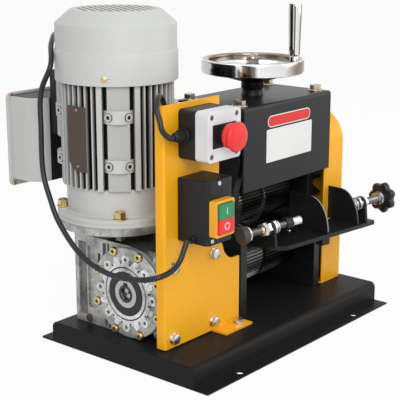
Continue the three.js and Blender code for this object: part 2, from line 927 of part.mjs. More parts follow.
// One ring of points at a height: a thread of a share of its full height, or a plain circle
function wormRing(z, share, radius) {
  const crest = (2 * Math.PI * z) / wormPitch - Math.PI / 2;
  return wormSection().map(([angle, part]) => {
    const reach = radius ?? wormRoot + part * share * (wormTip - wormRoot);
    const at = angle + (radius ? -Math.PI / 2 : crest);
    return [reach * Math.cos(at), reach * Math.sin(at), z];
  });
}

function wormRings() {
  const steps = wormTurns * wormStepsPerTurn;
  const rings = [wormRing(wormLow, 0, wormJournal), wormRing(-wormShoulder, 0, wormJournal)];
  for (let i = 0; i <= steps; i += 1) {
    const share = Math.min(1, i / wormRampSteps, (steps - i) / wormRampSteps);
    rings.push(wormRing((i / steps - 0.5) * 2 * wormShoulder, share));
  }
  return [...rings, wormRing(wormShoulder, 0, wormJournal), wormRing(wormHigh, 0, wormJournal)];
}

function worm() {
  const rings = wormRings();
  const count = rings[0].length;
  const points = [...rings.flat(), [0, 0, wormLow], [0, 0, wormHigh]];
  const [lowEnd, highEnd] = [points.length - 2, points.length - 1];
  const lastRing = (rings.length - 1) * count;
  const faces = [];
  for (let k = 0; k < count; k += 1) {
    const next = (k + 1) % count;
    faces.push(lowEnd, next, k, highEnd, lastRing + k, lastRing + next);
    for (let start = 0; start < lastRing; start += count) {
      const [a, b] = [start + k, start + next];
      faces.push(a, b, b + count, a, b + count, a + count);
    }
  }
  const geometry = new THREE.BufferGeometry();
  geometry.setAttribute('position', new THREE.Float32BufferAttribute(points.flat(), 3));
  geometry.setIndex(faces);
  const bore = barZ(inputShaft + snug, flangeTop - inputLength - fit, wormHigh + overrun, midSides);
  return cut(toSolid(geometry), bore);
}
add(drive, 'worm', worm(), steel, [0, centreDistance, 0]);

// Motor, about the middle of its flange's underside
const motor = groupAt(drive, 0, centreDistance, flangeTop);

// Flange shield with its bearing, in one with the bolts through both flanges
function flangeShield() {
  const seatLow = motorBearingSeat;
  const seatHigh = motorBearingSeat + motorBearingWidth + snug;
  const through = bearingJournal + running;
  return join(flangeBolts(), turned([
    [through, 0],
    [flangeRadius, 0],
    [flangeRadius, shieldFlange],
    [shieldRadius, shieldFlange],
    [shieldRadius, shieldHeight],
    [frameBore, shieldHeight],
    [frameBore, shieldFloor],
    [hubRadius, shieldFloor],
    [hubRadius, seatLow + motorBearingWidth + snug],
    [motorBearingRadius, seatHigh],
    [through, seatHigh],
    [through, 0],
  ], bigSides));
}

// Bolts through both flanges, each with its nut below
function flangeBolts() {
  const through = shieldFlange + flangeThickness;
  const shank = through + boltHeadHeight + overrun;
  return join(...diagonals.map(([c, s]) => {
    const parts = [
      postGeometry(boltHead, 0, boltHeadHeight, 6),
      postGeometry(boltShank, -shank, boltHeadHeight / 2, tinySides),
      postGeometry(boltHead, -through - fit - boltHeadHeight, -through - fit, 6),
    ];
    return seated(parts, [flangeBoltCircle * c, flangeBoltCircle * s, shieldFlange - snug], up);
  }));
}
add(motor, 'motor_flange_shield', flangeShield(), motorGrey);

// Finned frame: narrow fins, with a wide rib at each diagonal
function finOutline() {
  const points = [];
  const ribAngle = ribHalf / ribRadius;
  around(finCount).forEach(([, , angle]) => {
    const nearest = Math.round((angle - Math.PI / 4) / (Math.PI / 2)) * (Math.PI / 2) + Math.PI / 4;
    const away = Math.abs(angle - nearest);
    const onRib = away < ribAngle + finHalf / ribRadius;
    if (onRib && away > Math.PI / finCount) return;
    const [reach, half] = onRib ? [ribRadius, ribHalf] : [finRadius, finHalf];
    [[frameCore, -half], [reach, -half], [reach, half], [frameCore, half]].forEach(([radius, side]) => {
      const at = angle + Math.asin(side / radius);
      points.push([radius * Math.cos(at), radius * Math.sin(at)]);
    });
  });
  return outline(points);
}

function motorFrame() {
  const low = shieldHeight;
  const body = alongZ(finOutline(), low, frameTop);
  const pads = diagonals.flatMap(([, , angle]) => padLows.map((lift) => {
    const geometry = new THREE.BoxGeometry(padReach - frameCore, 2 * padHalf, padHeight);
    geometry.translate((padReach + frameCore) / 2, 0, low + lift + padHeight / 2);
    return toSolid(geometry.rotateZ(angle));
  }));
  const rim = barZ(padReach, low, frameTop, bigSides);
  const boss = block(-bossHalf, bossHalf, frameCore - overrun, bossReach, bossLow, bossHigh);
  const bore = barZ(frameBore, low - overrun, frameTop + overrun, bigSides);
  return cut(join(body, join(...pads).intersect(rim), boss), bore);
}
add(motor, 'motor_frame', motorFrame(), motorGrey);

const statorBottom = shieldHeight + statorLow;
const statorTop = frameTop - statorHeadroom;
add(motor, 'stator', join(
  ringZ(frameBore - fit, statorBore, statorBottom, statorTop, bigSides),
  ringZ(windingOuter, windingInner, statorBottom - windingHeight, statorBottom + overrun, midSides),
  ringZ(windingOuter, windingInner, statorTop - overrun, statorTop + windingHeight, midSides),
), copper);
const rotorCore = barZ(rotorRadius, statorBottom, statorTop, midSides);

const upperSeat = frameTop + motorBearingSeat;
const fanLow = frameTop + fanLift;
const fanTop = fanLow + fanHeight;
const rotorShaftBar = turned([
  [0, -inputLength],
  [inputShaft, -inputLength],
  [inputShaft, motorBearingSeat],
  [bearingJournal, motorBearingSeat],
  [bearingJournal, motorBearingSeat + motorBearingWidth + running],
  [rotorShaft, motorBearingSeat + motorBearingWidth + running],
  [rotorShaft, frameTop - running],
  [bearingJournal, frameTop - running],
  [bearingJournal, fanLow - running],
  [fanShaft, fanLow - running],
  [fanShaft, fanTop],
  [0, fanTop],
], smallSides);

// Upper end shield with its bearing and the lugs for the cowl
function upperShield() {
  const bore = bearingJournal + running;
  const top = frameTop + upperShieldHeight;
  const hubTop = upperSeat + motorBearingWidth + snug;
  const body = turned([
    [bore, frameTop],
    [frameBore - snug, frameTop - shieldSpigot],
    [frameBore - snug, frameTop],
    [upperShieldRadius, frameTop],
    [upperShieldRadius, top],
    [hubRadius, top],
    [hubRadius, hubTop],
    [bore, hubTop],
    [bore, frameTop],
  ], bigSides);
  const reach = cowlRadius - cowlWall - fit;
  const lugs = diagonals.map(([, , angle]) => {
    const geometry = new THREE.BoxGeometry(reach - frameCore, 2 * lugHalf, upperShieldHeight);
    geometry.translate((reach + frameCore) / 2, 0, frameTop + upperShieldHeight / 2);
    return toSolid(geometry.rotateZ(angle));
  });
  const rim = barZ(reach, frameTop, top, bigSides);
  return join(body, join(...lugs).intersect(rim));
}
add(motor, 'upper_end_shield', upperShield(), motorGrey);

function coolingFan() {
  const hub = barZ(fanHub, fanLow, fanTop, smallSides);
  const plate = barZ(fanRadius, fanLow, fanLow + fanPlate, midSides);
  const blades = around(fanBlades).map(([, , angle]) => {
    const geometry = new THREE.BoxGeometry(fanRadius - fanHub / 2, 2 * bladeHalf, fanHeight);
    geometry.translate((fanRadius + fanHub / 2) / 2, 0, (fanLow + fanTop) / 2);
    return toSolid(geometry.rotateZ(angle));
  });
  return join(hub, plate, ...blades);
}
add(motor, 'rotor', join(rotorShaftBar, rotorCore, coolingFan()), steel);

// Fan cowl: a turned shell with parallel slots through its flat top
function fanCowl() {
  const low = frameTop - cowlOverlap;
  const step = low + cowlStep;
  const straight = low + cowlStraight;
  const top = low + cowlHeight;
  const inner = cowlUpperRadius - cowlWall;
  const body = turned([
    [0, top],
    [0, top - cowlWall],
    [cowlTopRadius - cowlWall, top - cowlWall],
    [inner, straight - cowlWall],
    [inner, step - cowlWall],
    [cowlRadius - cowlWall, step - cowlWall],
    [cowlRadius - cowlWall, low],
    [cowlRadius, low],
    [cowlRadius, step],
    [cowlUpperRadius, step + cowlWall],
    [cowlUpperRadius, straight],
    [cowlTopRadius, top],
    [0, top],
  ], bigSides);
  const slots = Array.from({ length: cowlSlots }, (unused, i) => {
    const across = (i - (cowlSlots - 1) / 2) * cowlSlotPitch;
    const reach = Math.sqrt(cowlSlotReach ** 2 - across ** 2);
    const geometry = new THREE.BoxGeometry(2 * reach, 2 * cowlSlotHalf, 2 * overrun + cowlWall);
    geometry.translate(0, across, top - cowlWall / 2);
    return toSolid(geometry.rotateZ(degrees(cowlSlotTurn)));
  });
  const screwSeat = cowlRadius - cowlWall + fit;
  const screws = diagonals.map(([c, s]) => screwHead(
    [screwSeat * c, screwSeat * s, frameTop + upperShieldHeight / 2],
    axis(c, s, 0),
  ));
  return join(cut(body, ...slots), ...screws);
}
add(motor, 'fan_cowl', fanCowl(), motorGrey);

// Blank nameplate on the fins, with a rivet at each end
function nameplate() {
  const face = -finRadius - fit - plateThickness;
  const low = shieldHeight + plateLow;
  const body = block(face, face + plateThickness, -plateHalf, plateHalf, low, low + plateHeight);
  const rivets = [low + rivetRadius * 2, low + plateHeight - rivetRadius * 2].map((z) =>
    barX(rivetRadius, face - plateThickness / 2, face + plateThickness, tinySides, 0, z));
  return join(body, ...rivets);
}
add(motor, 'nameplate', nameplate(), brownPlate);

// Terminal box: its back is closed by the lid
function terminalBox() {
  const shell = alongZ(
    roundedBox(-boxHalf, boxHalf, boxFront, boxBack, [boxCorner, boxCorner, 0, 0]),
    boxLow,
    boxHigh,
  );
  const inner = alongZ(
    roundedBox(
      boxWall - boxHalf,
      boxHalf - boxWall,
      boxFront + boxWall,
      boxBack + overrun,
      [boxCorner - boxWall, boxCorner - boxWall, 0, 0],
    ),
    boxLow + boxWall,
    boxHigh - boxWall,
  );
  const neckFront = bossReach + boxGap;
  const neck = block(-boxNeckHalf, boxNeckHalf, neckFront, boxFront + boxWall / 2, bossLow, bossHigh);
  const outlet = gland([boxGlandX, boxGlandY, boxHigh - snug], up);
  return join(cut(join(shell, neck), inner), outlet);
}
add(motor, 'terminal_box', terminalBox(), motorGrey);

const lidScrewPlaces = [-1, 1].flatMap((i) => [lidLow + lidScrewInset, lidHigh - lidScrewInset].map((z) =>
  [i * (lidHalf - lidScrewInset), boxBack + lidThickness, z]));
const back = axis(0, 1, 0);
add(motor, 'terminal_lid', join(
  alongY(evenBox(-lidHalf, lidHalf, lidLow, lidHigh, lidCorner), boxBack, boxBack + lidThickness),
  ...lidScrewPlaces.map((place) => screwHead(place, back, lidScrewHead, lidScrewHeight)),
), motorGrey);

// Roller head, about the middle of the plates' front feet
const headPlace = [headX, frameFront, trayHeight];
const head = groupAt(machine, ...headPlace);

function sidePlateOutline() {
  return outline([
    [0, 0],
    [headDepth, 0],
    [headDepth, headHeight],
    [headNose, headHeight],
    [headNose, throatHigh],
    [throatKneeDepth, throatKnee],
    [throatDepth, throatEnd],
    [throatDepth, throatStart],
    [0, throatLow],
  ]);
}

// One side plate with its shaft bearing and cap screws, on the side given by its sign
function sidePlate(side) {
  const [near, far] = side < 0 ? [-plateOuter, -headInnerHalf] : [headInnerHalf, plateOuter];
  const middle = (near + far) / 2;
  const plate = alongX(sidePlateOutline(), near, far);
  const bore = barX(shaftRadius + running, near - overrun, far + overrun, midSides, shaftSetback, lowerAxis);
  const window = block(
    near - overrun,
    far + overrun,
    shaftSetback - blockHalf - fit,
    shaftSetback + blockHalf + fit,
    upperAxis - blockHalf - carriageDown - running,
    upperAxis + blockHalf + carriageUp + running,
  );
  const topHoles = [topBoltFront, topBoltBack].map((y) =>
    seated(boltHole(boltReach + overrun), [middle, y, headHeight], up));
  const footHoles = [footScrewFront, footScrewBack].map((y) =>
    seated(boltHole(boltReach + overrun), [middle, y, 0], down));
  const places = [...tieScrewPlaces, ...(side > 0 ? barScrewPlaces : [])];
  const screws = places.map(([y, z]) =>
    capScrew([side * (plateOuter - snug), y, z], sideways(side), barReach));
  return join(cut(plate, bore, window, ...topHoles, ...footHoles), ...screws);
}

// The bar that carries the guide table, screwed to the right plate
const barLow = tableTop - tableThickness - fit - trayHeight - barHeight;
const barScrewPlaces = [0.3, 0.7].map((share) => [barFront + barDepth / 2, barLow + share * barHeight]);
const barReach = plateWidth + capReach;
const barScrewHoles = barScrewPlaces.map(([y, z]) => capHole([plateOuter, y, z], right, barReach + overrun));
const tieScrewPlaces = [[headDepth - tieThickness / 2, tieScrewLift]];
add(head, 'left_side_plate', sidePlate(-1), blackPaint);
add(head, 'right_side_plate', sidePlate(1), blackPaint);
add(head, 'table_bar', cut(
  block(barLeft, headInnerHalf - snug, barFront, barFront + barDepth, barLow, barLow + barHeight),
  ...barScrewHoles,
), blackPaint);

const tieHalf = headInnerHalf - snug;
const tieFront = headDepth - tieThickness;
const tieHoles = [-1, 1].flatMap((side) => tieScrewPlaces.map(([y, z]) =>
  capHole([side * plateOuter, y, z], sideways(side), barReach + overrun)));
add(head, 'rear_tie_plate', cut(
  block(-tieHalf, tieHalf, tieFront, headDepth, 0, tieHeight),
  ...tieHoles,
), blackPaint);

const topBoltPlaces = [-1, 1].flatMap((side) => [topBoltFront, topBoltBack].map((y) =>
  [side * (headInnerHalf + plateWidth / 2), y]));
const topBores = topBoltPlaces.map(([x, y]) =>
  barZ(boltShank + fit, headHeight - overrun, headTop + overrun, tinySides, x, y));
const bushBore = barZ(bushRadius + snug, headHeight - overrun, coverTop + overrun, midSides, 0, spindleSetback);
add(head, 'top_plate', cut(
  block(-plateOuter, plateOuter, -topFront, headDepth - panelWall, headHeight, headTop),
  ...topBores,
  bushBore,
), blackPaint);

// Bent cover: a sheet over the top with a flap down the front, in one with the four top bolts
function headCover() {
  const shape = new THREE.Shape();
  const inner = coverSheet - coverFront;
  shape.moveTo(-coverFront, coverFlapLow);
  shape.lineTo(inner, coverFlapLow);
  shape.lineTo(inner, headTop);
  shape.lineTo(headDepth, headTop);
  shape.lineTo(headDepth, coverTop);
  shape.lineTo(coverBend - coverFront, coverTop);
  shape.absarc(coverBend - coverFront, coverTop - coverBend, coverBend, Math.PI / 2, Math.PI);
  const half = plateOuter + coverOverhang;
  const bolts = topBoltPlaces.map(([x, y]) =>
    seated(hexBolt(topThickness + coverSheet + boltReach), [x, y, coverTop - snug], up));
  return join(cut(alongX(shape, -half, half), bushBore), ...bolts);
}
add(head, 'head_cover', headCover(), blackPaint);

// Drive shaft, its bearings and the lower roller
const shaftLeft = gearboxX - sleeveHalf + shaftLeftInset - headX;
const shaftRight = plateOuter + shaftRightReach;
function driveShaft() {
  const bar = barX(shaftRadius, shaftLeft, shaftRight, midSides);
  const keyEnd = gearboxX + sleeveHalf - headX - shaftLeftInset;
  const key = block(shaftLeft, keyEnd, -keyHalf, keyHalf, 0, keyTop);
  return join(bar, key);
}
const lowerPlace = [0, shaftSetback, lowerAxis];
add(head, 'drive_shaft', driveShaft(), steel, lowerPlace);

function lowerRoller() {
  const shape = fluted(fluteCount, rollerRadius, fluteDepth);
  const wings = [alongX(shape, -rollerHalf, -grooveHalf), alongX(shape, grooveHalf, rollerHalf)];
  const core = barX(rollerRadius - grooveDepth, -rollerHalf / 2, rollerHalf / 2, midSides);
  const reach = rollerHalf + overrun;
  return cut(join(core, ...wings), barX(shaftRadius + snug, -reach, reach, midSides));
}
add(head, 'lower_feed_roller', lowerRoller(), darkSteel, lowerPlace);

const gearLeft = plateOuter + gearInset;
const gearRight = gearLeft + gearWidth;
const pinion = (start, bore) => cut(
  alongX(toothed(gearTeeth, gearTip, gearRoot, gearTipHalf, gearRootHalf, start), gearLeft, gearRight),
  barX(bore + snug, gearLeft - overrun, gearRight + overrun, midSides),
);
add(head, 'drive_gear', pinion(0, shaftRadius), darkSteel, lowerPlace);

// Upper shaft with its rollers, cutter and gear, carried by the carriage
const upperPlace = [0, shaftSetback, upperAxis];
const upperShape = fluted(upperFlutes, upperRadius, fluteDepth);
const rollerGap = cutterHalf + fit;
add(head, 'upper_feed_roller', join(
  barX(bladeShaft, -plateOuter, shaftRight, midSides),
  alongX(upperShape, -upperHalf, -rollerGap),
  alongX(upperShape, rollerGap, upperHalf),
), darkSteel, upperPlace);

function cutterDisc() {
  const disc = turned([
    [bladeShaft + snug, -cutterHalf],
    [cutterRadius - cutterBevel, -cutterHalf],
    [cutterRadius, 0],
    [cutterRadius - cutterBevel, cutterHalf],
    [bladeShaft + snug, cutterHalf],
    [bladeShaft + snug, -cutterHalf],
  ], midSides);
  return disc;
}
add(head, 'cutter_disc', cutterDisc(), zinc, upperPlace).rotation.y = Math.PI / 2;
add(head, 'blade_gear', pinion(Math.PI / gearTeeth, bladeShaft), darkSteel, upperPlace);

const blockNear = headInnerHalf - fit;
function bearingBlock(near, far) {
  const body = block(near, far, -blockHalf, blockHalf, -blockHalf, blockHalf);
  const dish = ringX(blockBore, bladeShaft + 2 * overrun, near - fit, near + running, midSides);
  const bore = barX(bladeShaft + running, near - overrun, far + overrun, midSides);
  return cut(body, dish, bore);
}
const blockFar = blockNear + plateWidth;
add(head, 'left_bearing_block', bearingBlock(-blockFar, -blockNear), blackPaint, upperPlace);
add(head, 'right_bearing_block', bearingBlock(blockNear, blockFar), blackPaint, upperPlace);

// Yoke: a beam over the rollers with an arm down to each block
const nutSpan = [beamLow - nutOverhang, beamHigh + nutOverhang];
function yoke() {
  const outer = blockNear - snug;
  const beam = block(-outer, outer, beamFront, shaftSetback + armHalf, beamLow, beamHigh);
  const arms = [-1, 1].map((side) => {
    const [near, far] = side < 0 ? [-outer, armThickness - outer] : [outer - armThickness, outer];
    return block(near, far, shaftSetback - armHalf, shaftSetback + armHalf, upperAxis - armDrop, beamHigh);
  });
  const reach = outer + overrun;
  const shaftBore = barX(bladeShaft + running, -reach, reach, midSides, shaftSetback, upperAxis);
  const nut = barZ(nutRadius, ...nutSpan, midSides, 0, spindleSetback);
  const nutLow = nutSpan[0] - overrun;
  const thread = barZ(spindleRadius + running, nutLow, nutSpan[1] + overrun, midSides, 0, spindleSetback);
  return cut(join(beam, ...arms, nut), shaftBore, thread);
}
add(head, 'yoke', yoke(), blackPaint);
const spindlePlace = [0, spindleSetback, 0];

// Bush through the top plate, and the spindle that turns in it
const bushLow = headHeight - overrun;
const bushHigh = coverTop + bushRise;
function bush() {
  const bore = spindleRadius + running;
  return turned([
    [bore, bushLow],
    [bushRadius, bushLow],
    [bushRadius, coverTop],
    [bushFoot, coverTop],
    [bushFoot, coverTop + bushRise / 4],
    [bushTop, coverTop + bushRise / 2],
    [bushTop, bushHigh],
    [bore, bushHigh],
    [bore, bushLow],
  ], midSides);
}
add(head, 'spindle_bush', bush(), blackPaint, spindlePlace);

const wheelLow = bushHigh + running;
const wheelTop = wheelLow + wheelHubHeight;
const nutLow = wheelTop + wheelWasherHeight;
const nutTop = nutLow + wheelNutHeight;
const collarHigh = bushLow - running;
function spindle() {
  const washerLow = wheelTop + snug;
  return turned([
    [0, spindleLow],
    [spindleRadius, spindleLow],
    [spindleRadius, collarHigh - spindleCollarHeight],
    [spindleCollar, collarHigh - spindleCollarHeight],
    [spindleCollar, collarHigh],
    [spindleRadius, collarHigh],
    [spindleRadius, washerLow],
    [wheelWasher, washerLow],
    [wheelWasher, nutLow],
    [wheelNut, nutLow],
    [wheelNut, nutLow + wheelNutHeight * nutShoulderShare],
    [wheelNut * nutCrownShare, nutTop],
    [0, nutTop],
  ], midSides);
}
add(head, 'spindle', spindle(), steel, spindlePlace);

// Dished handwheel, drawn from the underside of its hub
function handwheel() {
  const rimInner = wheelRadius - wheelRimWidth;
  const rimHigh = wheelRimLow + wheelRimHeight;
  const round = wheelRimWidth / 4;
  const bore = spindleRadius + snug;
  return turned([
    [bore, 0],
    [wheelHub, 0],
    [wheelHub, wheelHubRise - wheelWeb],
    [rimInner + round, wheelRimLow],
    [wheelRadius - round, wheelRimLow],
    [wheelRadius, wheelRimLow + round],
    [wheelRadius, rimHigh - round],
    [wheelRadius - round, rimHigh],
    [rimInner, rimHigh],
    [rimInner, wheelRimLow + 2 * wheelWeb],
    [wheelHubTop + wheelWeb, wheelHubRise + wheelWeb],
    [wheelHubTop, wheelHubHeight],
    [bore, wheelHubHeight],
    [bore, 0],
  ], bigSides);
}
const gripAngle = degrees(gripTurn);
const gripPlace = [gripCircle * Math.cos(gripAngle), gripCircle * Math.sin(gripAngle)];
const rimTop = wheelRimLow + wheelRimHeight;
const wheelPlace = [0, spindleSetback, wheelLow];
const gripX = gripPlace[0];
const gripY = gripPlace[1];
const gripPinBar = join(
  barZ(gripPin, wheelRimLow + wheelWeb, rimTop + gripPinRise, smallSides, gripX, gripY),
  barZ(gripPinFlange, rimTop - wheelWeb, rimTop + gripPinFlangeHeight, smallSides, gripX, gripY),
);
add(head, 'handwheel', join(handwheel(), gripPinBar), chrome, wheelPlace);

const gripLow = rimTop + gripPinFlangeHeight + running;
const gripSpot = [gripX, spindleSetback + gripY, wheelLow];
add(head, 'wheel_grip', cut(
  turned([
    [0, gripLow],
    [gripNeck, gripLow],
    [gripRadius, gripLow + gripHeight * gripSwellShare],
    [gripRadius, gripLow + gripHeight * gripCrownShare],
    [gripRadius * gripTipShare, gripLow + gripHeight],
    [0, gripLow + gripHeight],
  ], smallSides),
  barZ(gripPin + running, gripLow - overrun, rimTop + gripPinRise + running, smallSides),
), chrome, gripSpot);

// Guard over the gears: front, top, back and outer wall, with two feet and their bolts
function gearGuard() {
  const near = plateOuter + guardGap;
  const far = near + guardWidth;
  const [y0, y1] = [-guardFront, guardDepth - guardFront];
  const shell = alongX(roundedBox(y0, y1, 0, guardHeight, [0, 0, guardCorner, guardCorner]), near, far);
  const bend = guardCorner - guardWall;
  const inner = alongX(
    roundedBox(y0 + guardWall, y1 - guardWall, -overrun, guardHeight - guardWall, [0, 0, bend, bend]),
    near - overrun,
    far - guardWall,
  );
  const feet = [
    block(near, far - guardWall, y0, y0 + guardWall + guardFoot, 0, guardWall),
    block(near, far - guardWall, y1 - guardWall - guardFoot, y1, 0, guardWall),
  ];
  const bolts = guardScrewPlaces.map(([x, y]) => seated(
    hexBolt(guardWall + trayWall + overrun),
    [x - headX, y - frameFront, guardWall - snug],
    up,
  ));
  return join(cut(shell, inner), ...feet, ...bolts);
}
add(head, 'gear_guard', gearGuard(), yellowPaint);

// Wire guide table, in a group turned about its pivot
const table = groupAt(machine, tableX, tableY, tableTop);
table.rotation.z = degrees(tableTurn);

function guideTable() {
  const shape = new THREE.Shape();
  const quarter = Math.PI / 2;
  shape.moveTo(tableCorner - tableLeft, -tableFront);
  shape.lineTo(tableRight - tableRightCorner, -tableFront);
  shape.absarc(tableRight - tableRightCorner, tableRightCorner - tableFront, tableRightCorner, -quarter, 0);
  shape.lineTo(tableRight, tableBack);
  shape.lineTo(tableTongueRight, tableBack);
  shape.lineTo(tableTongueRight, tableTongueBack);
  shape.lineTo(-tableTongueLeft, tableTongueBack);
  shape.lineTo(-tableTongueLeft, tableBack);
  shape.lineTo(-tableLeft, tableBack);
  shape.lineTo(-tableLeft, tableCorner - tableFront);
  shape.absarc(tableCorner - tableLeft, tableCorner - tableFront, tableCorner, 2 * quarter, 3 * quarter);
  return alongZ(shape, -tableThickness, 0);
}

// Fin with a quarter-ellipse front
function fin(at, flat) {
  const steps = 10;
  const points = [];
  for (let i = 0; i <= steps; i += 1) {
    const angle = (Math.PI / 2) * (i / steps);
    points.push([finReach - finFront - finReach * Math.cos(angle), fit + finHeight * Math.sin(angle)]);
  }
  const far = finReach - finFront + flat;
  points.push([far, fit + finHeight]);
  points.push([far, fit]);
  return alongX(outline(points.reverse()), at, at + finThickness);
}
const underMiddle = middleFinAt + finThickness / 2;
const tableBlock = block(
  underMiddle - blockUnderWidth / 2,
  underMiddle + blockUnderWidth / 2,
  -finFront,
  blockUnderDepth - finFront,
  -tableThickness - blockUnderHeight,
  -tableThickness / 2,
);
add(table, 'guide_table', join(guideTable(), tableBlock), blackPaint);
add(table, 'middle_fin', fin(middleFinAt, finFlat), blackPaint);

// Ears that the two screws pass through
function rodEar(at) {
  const points = [[-earFootHalf, fit], [earFootHalf, fit], [earHalf, rodRise]];
  for (const share of [0.25, 0.5, 0.75]) {
    const angle = Math.PI * share;
    points.push([earHalf * Math.cos(angle), rodRise + earHalf * Math.sin(angle)]);
  }
  points.push([-earHalf, rodRise]);
  return alongX(outline(points), at, at + earThickness);
}

// Hexagon nuts held against the ears
const hexBar = (at) => barX(nutCorner, at, at + nutHeight, 6, 0, rodRise);
const nutCollar = (at) => barX(nutCorner - overrun, at, at + overrun, smallSides, 0, rodRise);
const rodBore = (from, to) => barX(rodRadius + running, from - overrun, to + overrun, smallSides, 0, rodRise);
const farNutAt = leftEarAt + snug - 2 * nutHeight - fit;
const nearNutAt = leftEarAt + snug - nutHeight;
add(table, 'left_rod_ear', cut(
  join(
    rodEar(leftEarAt),
    hexBar(farNutAt),
    nutCollar(nearNutAt - overrun / 2),
    hexBar(nearNutAt),
    hexBar(leftEarAt + earThickness - snug),
  ),
  rodBore(farNutAt, leftEarAt + earThickness + nutHeight),
), blackPaint);
add(table, 'right_rod_ear', cut(
  join(rodEar(rightEarAt), hexBar(rightEarAt + snug - nutHeight), hexBar(rightEarAt + earThickness - snug)),
  rodBore(rightEarAt - nutHeight, rightEarAt + earThickness + nutHeight),
), blackPaint);
const finNutAt = rightFinAt + finThickness - snug;
add(table, 'right_fin', join(
  fin(rightFinAt, rightFinFlat),
  cut(hexBar(finNutAt), rodBore(finNutAt + fit, finNutAt + nutHeight)),
), blackPaint);

// Left screw with its knob, ring and sleeve
const knobEnd = leftKnobAt + leftKnobLength;
const tipLow = leftRodEnd - leftTipLength;
add(table, 'left_screw', join(
  barX(rodRadius, knobEnd - overrun, leftRodEnd, smallSides, 0, rodRise),
  barX(leftKnobRadius, leftKnobAt, knobEnd, midSides, 0, rodRise),
  barX(leftTipRadius, tipLow, leftRodEnd + overrun / 2, smallSides, 0, rodRise),
), zinc);
add(table, 'left_sleeve', ringX(
  leftSleeveRadius,
  rodRadius + fit,
  leftSleeveAt,
  leftSleeveAt + leftSleeveLength,
  midSides,
  0,
  rodRise,
), blackPaint);

// Star screw and knob
const starHubAt = starAt - starHubLength;
add(table, 'star_screw', join(
  barX(rodRadius, rightFinAt + finThickness + fit, starAt, smallSides, 0, rodRise),
  barX(starHub, starHubAt, starAt - fit, 6, 0, rodRise),
), zinc);

function starKnob() {
  const points = [];
  const steps = 6 * starLobes;
  around(steps).forEach(([c, s, angle]) => {
    const reach = starRadius - (starLobe * (1 - Math.cos(starLobes * angle))) / 2;
    points.push([reach * c, reach * s + rodRise]);
  });
  return cut(
    alongX(outline(points), starAt, starAt + starThickness),
    barX(rodRadius + snug, starAt - overrun, starAt + snug, smallSides, 0, rodRise),
  );
}
add(table, 'star_knob', starKnob(), blackPlastic);

// Emergency stop box, about the middle of its back
const stopPlace = [stopX, frameFront, stopZ];
const stop = groupAt(machine, ...stopPlace);

function stopShell(y0, y1, openFront, openBack) {
  const whole = alongY(evenBox(-stopHalfX, stopHalfX, -stopHalfZ, stopHalfZ, stopCorner), y0, y1);
  const inX = stopHalfX - stopWall;
  const inZ = stopHalfZ - stopWall;
  const hollow = alongY(
    evenBox(-inX, inX, -inZ, inZ, stopCorner - stopWall),
    openFront ? y0 - overrun : y0 + stopWall,
    openBack ? y1 + overrun : y1 - stopWall,
  );
  return cut(whole, hollow);
}
const stopSeam = -stopBaseDepth;
const stopFace = stopSeam - stopLidDepth;
const stopGland = gland([-stopHalfX, -stopGlandSetback, 0], left);
add(stop, 'stop_box_base', join(stopShell(stopSeam, 0, true, false), stopGland), blackPlastic);

const stopScrews = [-1, 1].flatMap((i) => [-1, 1].map((k) => [i * stopScrewHalf, k * stopScrewHalf]));
const stemBore = (y0, y1) => barY(stopStem + running, y0, y1, midSides);
const insertFace = stopFace - stopInsertThickness;
const stopLid = join(
  stopShell(stopFace, stopSeam, false, true),
  block(-stopInsertX, stopInsertX, insertFace, stopFace + snug, -stopInsertZ, stopInsertZ),
  barY(stopCollar, insertFace - stopCollarHeight, stopFace + snug, midSides),
  ...stopScrews.map(([x, z]) => screwHead([x, stopFace, z], front, stopScrewHead, stopScrewHeight)),
);
add(stop, 'stop_box_lid', cut(
  stopLid,
  stemBore(insertFace - stopCollarHeight - overrun, stopSeam),
), paleGrey);

// Mushroom cap on its stem: the cap turns on the stem, and both slide in
const stemFront = -stopCapBack - fit;
add(stop, 'stop_stem', barY(stopStem, stemFront, -stopStemBack, midSides), blackPlastic);
add(stop, 'stop_button', join(
  barY(stopCapRadius, -stopCapBack - stopCapNeck / 2, -stopCapBack - fit - snug, midSides, 0, 0, stopCapNeck),
  barY(stopCapRadius * capFaceShare, -stopCapFront, -stopCapBack - stopCapNeck / 2, midSides, 0, 0, stopCapRadius),
), redPlastic);

// Start and stop switch box, about the middle of its back
const switchPlace = [switchX, frameFront, switchZ];
const switchGroup = groupAt(machine, ...switchPlace);

function switchBox() {
  const [c, w] = [switchCorner, switchWall];
  const whole = alongZ(
    roundedBox(-switchHalfX, switchHalfX, -switchDepth, 0, [c, c, 0, 0]),
    -switchHalfZ,
    switchHalfZ,
  );
  const hollow = alongZ(
    roundedBox(w - switchHalfX, switchHalfX - w, w - switchDepth, overrun, [c - w, c - w, 0, 0]),
    w - switchHalfZ,
    switchHalfZ - w,
  );
  const outletEnd = -switchHalfX - switchOutletLength;
  const [y, z] = [-switchOutletSetback, -switchOutletDrop];
  const outlet = barX(switchOutletRadius, outletEnd, snug - switchHalfX, smallSides, y, z);
  return join(cut(whole, hollow), outlet);
}
add(switchGroup, 'switch_box', switchBox(), blackPlastic);

const frameFace = -switchDepth - frameDepth;
const recessFloor = frameFace + frameRecess;
function switchFrame() {
  const body = alongY(evenBox(frameLeft, frameRight, frameLow, frameHigh, frameRim), frameFace, -switchDepth);
  return cut(body, block(
    frameLeft + frameRim,
    frameRight - frameRim,
    frameFace - overrun,
    recessFloor,
    frameLow + frameRim,
    frameHigh - frameRim,
  ));
}
add(switchGroup, 'switch_frame', switchFrame(), yellowPaint);

